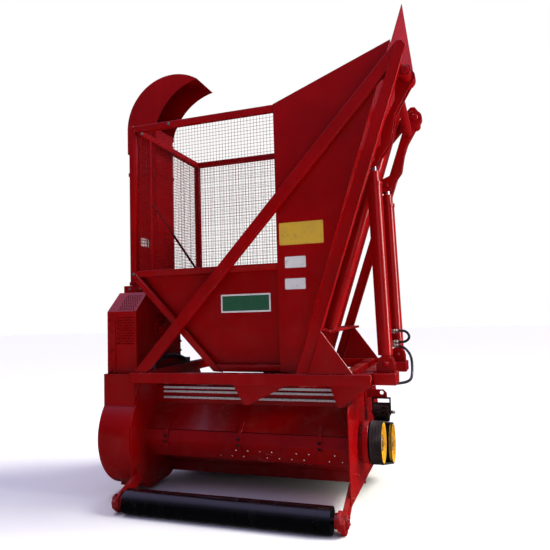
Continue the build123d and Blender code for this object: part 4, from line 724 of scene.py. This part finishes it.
HUB_FLOOR = 0.026            # from the pulley's right face in to the dish's floor
HUB_PROFILE = (              # radius as a share of the pulley's, height above the dish's floor
    (0.0, 0.0), (0.40, 0.0), (0.40, 0.014), (0.37, 0.016),
    (0.20, 0.016), (0.19, 0.022), (0.15, 0.024), (0.0, 0.024),
)
HUB_SCREWS = 3
HUB_SCREW_RING = 0.28        # of the pulley's radius
HUB_SCREW_HEIGHT = 0.016
HUB_SCREW_TURN = 0.4


def pulley_hub(node, body):
    """Taper lock hub in the pulley's dish: turned boss with a raised shaft end, and its screws."""
    lo, hi = (np.array(v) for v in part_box(node))
    centre = (lo + hi) / 2.0
    radius = (hi[2] - lo[2]) / 2.0
    base = np.array([hi[0] - HUB_FLOOR, centre[1], centre[2]])
    boss = [(share * radius, height) for share, height in HUB_PROFILE]
    turned(node + "_hub", boss, base, X, HUB_WITH_PAINTED_SHADE, body, 40)
    places = []
    for k in range(HUB_SCREWS):
        t = 2.0 * math.pi * k / HUB_SCREWS + HUB_SCREW_TURN
        across = HUB_SCREW_RING * radius
        places.append((base + np.array([HUB_SCREW_HEIGHT, across * math.cos(t), across * math.sin(t)]), X))
    bolts(node + "_screws", places, 0.014, ZINC, body)


def circle_places(centre, axis, radius, count, start):
    """Places evenly round a circle, each with the way out."""
    axis, first, second = frame_of(axis)
    t = start + 2.0 * math.pi * np.arange(count) / count
    points = np.asarray(centre) + radius * (np.cos(t)[:, None] * first + np.sin(t)[:, None] * second)
    return [(p, axis) for p in points]


# ---- small hardware ----------------------------------------------------------------------


ROLLER_XY = (0.085, 0.826)   # from the ground roller's middle to the shared frame's origin


def at(x, y, z):
    """A point in the shared frame, from its place in metres from the ground roller's middle."""
    return np.array([x - ROLLER_XY[0], y - ROLLER_XY[1], z])


def line_places(start, end, count, axis):
    """Places evenly along a line, each with the way out."""
    start, end = np.asarray(start, float), np.asarray(end, float)
    return [(start + (end - start) * k / (count - 1), axis) for k in range(count)]


GUARD_X, GUARD_Y = -0.868, 0.300           # right and rear faces of the belt guard
STRIP_Y = GUARD_Y - 0.006                  # rear face of its strip
PLATE_X = 0.860                            # outer faces of the side plates
BEAM_Y = 0.268                             # rear face of the hopper's near frame
ROTOR_YZ = (1.200, 0.310)
BOLT_RINGS = (               # piece, centre, way out, radius of the ring, count, first angle
    ("frame_bolts", (GUARD_X + 0.014, 0.685, 1.320), X, 0.096, 8, 0.4),
    ("roller_cap_screws", (-0.866, 0.0, 0.088), -X, 0.030, 4, 0.8),
    ("roller_cap_screws", (0.866, 0.0, 0.088), X, 0.030, 4, 0.8),
    ("drive_cover_bolts", (-0.955, *ROTOR_YZ), -X, 0.090, 5, 2.6),
    ("drive_cover_bolts", (-0.955, 1.340, 0.750), -X, 0.095, 5, 5.6),
    ("rotor_bearing_bolts", (0.884, *ROTOR_YZ), X, 0.100, 6, 0.3),
)
BOLT_ROWS = (                # piece, first place, last place, count, way out
    ("frame_bolts", (-1.098, STRIP_Y, 1.306), (-1.098, STRIP_Y, 0.998), 3, -Y),
    ("frame_bolts", (GUARD_X, 1.021, 1.190), (GUARD_X, 1.019, 1.107), 2, X),
    ("frame_bolts", (PLATE_X, 0.375, 0.272), (PLATE_X, 0.195, 0.167), 2, X),
    ("frame_bolts", (-PLATE_X, 0.230, 0.272), (-PLATE_X, 0.215, 0.167), 2, -X),
    ("duct_band_bolts", (-1.130, 0.694, 2.685), (-0.960, 0.694, 2.685), 3, -Y),
    ("duct_band_bolts", (-1.130, 0.694, 2.990), (-0.960, 0.694, 2.990), 3, -Y),
    ("collar_bolts", (-1.150, 0.640, 1.668), (-0.935, 0.640, 1.668), 3, -Y),
)
BOLT_SPOTS = (               # piece, place, way out
    ("hopper_bolts", (-0.774, BEAM_Y, 2.906), -Y),
    ("hopper_bolts", (-0.528, BEAM_Y, 2.955), -Y),
    ("hopper_bolts", (-0.867, BEAM_Y, 1.765), -Y),
    ("eye_pin_caps", (1.054, 0.373, 2.505), -Y),
    ("eye_pin_caps", (1.054, 1.223, 2.505), -Y),
    ("foot_pin_caps", (1.088, 0.375, 1.045), -Y),
    ("foot_pin_caps", (1.088, 1.225, 1.045), -Y),
)
RIM_CENTRE = (-1.140, 0.590, 0.465)        # blower casing's left face
RIM_R = 0.398
RIM_BOLTS = 11
RIM_START, RIM_STEP = 196.0, 14.0          # degrees
BOLT_GROUPS = (              # piece, size across flats, body, slot, whether it has a stud and nut
    ("frame_bolts", 0.022, "chassis", "red_paint", True),
    ("roller_cap_screws", 0.013, "chassis", "red_paint", False),
    ("casing_rim_bolts", 0.018, "chassis", "red_paint", False),
    ("drive_cover_bolts", 0.016, "chassis", "bare_steel", False),
    ("hopper_bolts", 0.020, "hopper", "bare_steel", False),
    ("rotor_bearing_bolts", 0.018, "chassis", "red_paint", False),
    ("duct_band_bolts", 0.014, "hopper", "red_paint", False),
    ("collar_bolts", 0.018, "chassis", "bare_steel", False),
    ("idler_nut", 0.024, "chassis", "bare_steel", True),
    ("eye_pin_caps", 0.026, "hopper", "red_paint", False),
    ("foot_pin_caps", 0.026, "chassis", "red_paint", False),
)
BOLT_FINISH = {"red_paint": FINISH["red_paint"], "bare_steel": ZINC}


def rim_places():
    """Bolts round the lower rear of the blower casing's rim."""
    x, y, z = RIM_CENTRE
    places = []
    for k in range(RIM_BOLTS):
        t = math.radians(RIM_START + RIM_STEP * k)
        places.append((at(x, y + RIM_R * math.cos(t), z + RIM_R * math.sin(t)), -X))
    return places


def idler_nut_places():
    """The idler's axle, on the right face of its yoke."""
    yoke = np.array(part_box("idler_yoke"))
    axle = np.array(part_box("idler_roller")).mean(axis=0)
    return [(np.array([yoke[1][0], axle[1], axle[2]]), X)]


def fasteners():
    """Every visible bolt, grouped by what it rides on."""
    for piece, across, body, slot, with_nut in BOLT_GROUPS:
        places = []
        for name, centre, way, radius, count, start in BOLT_RINGS:
            if name == piece:
                places += circle_places(at(*centre), way, radius, count, start)
        for name, start, end, count, way in BOLT_ROWS:
            if name == piece:
                places += line_places(at(*start), at(*end), count, way)
        places += [(at(*place), way) for name, place, way in BOLT_SPOTS if name == piece]
        if piece == "casing_rim_bolts":
            places += rim_places()
        if piece == "idler_nut":
            places += idler_nut_places()
        bolts(piece, places, across, BOLT_FINISH[slot], body, with_nut)


HINGE_XZ = (1.318, 3.070)
HINGE_FACES = (0.248, 1.225)               # Y of each hinge pin's rear end
HINGE_CAP = ((0.0, 0.0), (0.029, 0.0), (0.029, 0.004), (0.024, 0.008), (0.0, 0.009))


def hinge_pin_caps():
    """Turned cap on the rear end of each hinge pin."""
    x, z = HINGE_XZ
    points, faces = joined([turned_arrays(HINGE_CAP, at(x, y, z), -Y, 32) for y in HINGE_FACES])
    add_piece("hinge_pin_caps", points, faces, FINISH["red_paint"], "chassis", True, 0.5)


FRAME_WELDS = (              # both ends of each bead
    ((0.489, 0.198, 0.991), (0.569, 0.198, 0.991)),
    ((0.489, 1.548, 0.991), (0.569, 1.548, 0.991)),
    ((-0.860, 0.266, 0.991), (-0.780, 0.266, 0.991)),
    ((1.007, 0.190, 0.915), (1.007, 0.190, 0.985)),
    ((0.001, 0.208, 0.909), (0.322, 0.208, 0.909)),
    ((0.675, 0.208, 0.909), (0.996, 0.208, 0.909)),
    ((-1.138, 0.249, 0.721), (-0.862, 0.249, 0.721)),
)
FRAME_WELD_R = 0.004
HOPPER_WELDS = (
    ((-0.842, 0.268, 1.740), (-0.842, 0.268, 1.788)),
    ((-0.842, 0.268, 2.932), (-0.842, 0.268, 2.978)),
    ((0.352, 0.290, 2.932), (0.352, 0.290, 2.978)),
)
HOPPER_WELD_R = 0.003


def weld_beads():
    """Fillets where the tubes meet."""
    beads("frame_welds", [(at(*a), at(*b)) for a, b in FRAME_WELDS], FRAME_WELD_R, "chassis")
    beads("hopper_welds", [(at(*a), at(*b)) for a, b in HOPPER_WELDS], HOPPER_WELD_R, "hopper")


HOSE_DIAMETER = 0.022
HOSE_SHORT = (               # points for at(), from the upper port round to the lower one
    (1.1043, 1.200, 1.243),
    (1.146, 1.200, 1.249),
    (1.183, 1.200, 1.229),
    (1.198, 1.200, 1.197),
    (1.184, 1.200, 1.166),
    (1.146, 1.200, 1.148),
    (1.1043, 1.200, 1.151),
)
HOSE_LONG = (                # from the lower port to the clamp under the right rail
    (1.1043, 1.200, 1.121),
    (1.150, 1.200, 1.106),
    (1.188, 1.200, 1.064),
    (1.206, 1.199, 1.014),
    (1.209, 1.196, 0.955),
    (1.209, 1.163, 0.898),
    (1.205, 1.108, 0.861),
    (1.195, 1.028, 0.852),
    (1.180, 0.930, 0.852),
    (1.150, 0.820, 0.858),
    (1.106, 0.710, 0.866),
    (1.044, 0.630, 0.878),
    (0.972, 0.600, 0.888),
)
HOSE_STEPS = 12              # along the hose, from one control point to the next
HOSE_SIDES = 6
FITTING_PROFILE = (          # radius, height from the nut's root
    (0.0, 0.0), (0.019, 0.0), (0.021, 0.003), (0.021, 0.022), (0.015, 0.026), (0.015, 0.036), (0.0, 0.036),
)
FITTING_BACK = 0.032         # from a hose's end back to its nut's root
PORT_XY = (1.058, 1.198)
PORT_SIDE = 0.034
PORT_HEIGHTS = ((1.107, 1.165), (1.226, 1.260))
CLAMP_SIZE = (0.046, 0.044)
CLAMP_DROP = 0.022           # from the hose's middle down to the clamp's foot
RAIL_FOOT = 0.905


def hose(name, route, body):
    """Rubber hose along one smooth spline, whose control points are its route."""
    data = bpy.data.curves.new(name, "CURVE")
    data.dimensions = "3D"
    spline = data.splines.new("NURBS")
    spline.points.add(len(route) - 1)
    for point, place in zip(spline.points, route):
        point.co = (*at(*place), 1.0)
    spline.order_u = 3
    spline.use_endpoint_u = True
    data.resolution_u = HOSE_STEPS
    data.bevel_depth = HOSE_DIAMETER / 2
    data.bevel_resolution = HOSE_SIDES
    data.use_fill_caps = True
    data.materials.append(FINISH["hose_rubber"])
    piece = bpy.data.objects.new(name, data)
    bpy.context.scene.collection.objects.link(piece)
    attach(piece, body)
    return piece


def hose_fittings():
    """Port blocks on the far barrel's rear side, with a nut for each end that screws into them."""
    parts = []
    for z0, z1 in PORT_HEIGHTS:
        parts.append(slab_arrays(at(*PORT_XY, z0), X, Y, Z, (PORT_SIDE, PORT_SIDE, z1 - z0)))
    for x, y, z in (HOSE_SHORT[0], HOSE_SHORT[-1], HOSE_LONG[0]):
        parts.append(turned_arrays(FITTING_PROFILE, at(x - FITTING_BACK, y, z), X, 6))
    points, faces = joined(parts)
    return add_piece("hose_fittings", points, faces, ZINC, "cylinder_barrel_far", True, 0.4)


def hose_clamp():
    """Clamp block under the right rail that ends the long hose."""
    x, y, z = HOSE_LONG[-1]
    foot = z - CLAMP_DROP
    size = (*CLAMP_SIZE, RAIL_FOOT - foot)
    points, faces = slab_arrays(at(x - CLAMP_SIZE[0] / 2.0, y, foot), X, Y, Z, size)
    return add_piece("hose_clamp", points, faces, ZINC, "chassis", True, 0.4)


def hoses():
    """Both hoses of the far cylinder: a short loop between its ports and a long one down to the rail."""
    short = hose("hose_short", HOSE_SHORT, "cylinder_barrel_far")
    hose_fittings()
    long = hose("hose_long", HOSE_LONG, "chassis")
    hose_clamp()


STRIP_CENTRE = (-1.098, GUARD_Y, 1.190)
STRIP_SIZE = (0.072, 0.420, 0.006)
SMALL_LABEL_CENTRE = (-0.8715, 0.450, 2.042)
SMALL_LABEL_SIZE = (0.120, 0.070, 0.0012)
ADJUSTER_DROPS = (0.010, 0.054)            # from an adjuster's middle down to its two bolts
FLOOR_HALF = 40


def guard_strip():
    """Bolted strip down the left edge of the guard's rear face."""
    points, faces = slab_arrays(at(*STRIP_CENTRE), X, Z, -Y, STRIP_SIZE, LABEL_CORNER)
    add_piece("guard_strip", points, faces, FINISH["red_paint"], "chassis", False)


def small_label():
    """Blank white film behind the left window's mesh."""
    points, faces = slab_arrays(at(*SMALL_LABEL_CENTRE), Y, Z, -X, SMALL_LABEL_SIZE, LABEL_CORNER)
    add_piece("blank_label_small", points, faces, FINISH["label_paint"], "hopper", False)


def adjuster_bolts():
    """Two dark bolts through each trough adjuster, with their lock nuts."""
    places = []
    for lo, hi in solid_boxes("trough_adjusters"):
        x = (lo[0] + hi[0]) / 2.0
        for drop in ADJUSTER_DROPS:
            places.append((np.array([x, lo[1], (lo[2] + hi[2]) / 2.0 - drop]), -Y))
    bolts("adjuster_bolts", places, 0.017, OILY, "chassis", True)


def lay_floor():
    """Wide pale floor under the machine, which its gloss doesn't mirror."""
    mesh = bpy.data.meshes.new("floor")
    corners = [(FLOOR_HALF * x, FLOOR_HALF * y, 0) for x, y in ((-1, -1), (1, -1), (1, 1), (-1, 1))]
    mesh.from_pydata(corners, [], [(0, 1, 2, 3)])
    floor = bpy.data.objects.new("floor", mesh)
    mesh.materials.append(floor_finish())
    bpy.context.collection.objects.link(floor)
    floor.visible_glossy = False


place_camera()
light_studio()
dress_nodes()
for node_name, ease in EASED:
    eased_copy(node_name, ease)
blank_labels()
pulley_hub("rotor_pulley", "rotor")
pulley_hub("auger_pulley", "auger")
fasteners()
hinge_pin_caps()
weld_beads()
hoses()
guard_strip()
small_label()
adjuster_bolts()
lay_floor()
bpy.context.scene.view_settings.view_transform = "Standard"
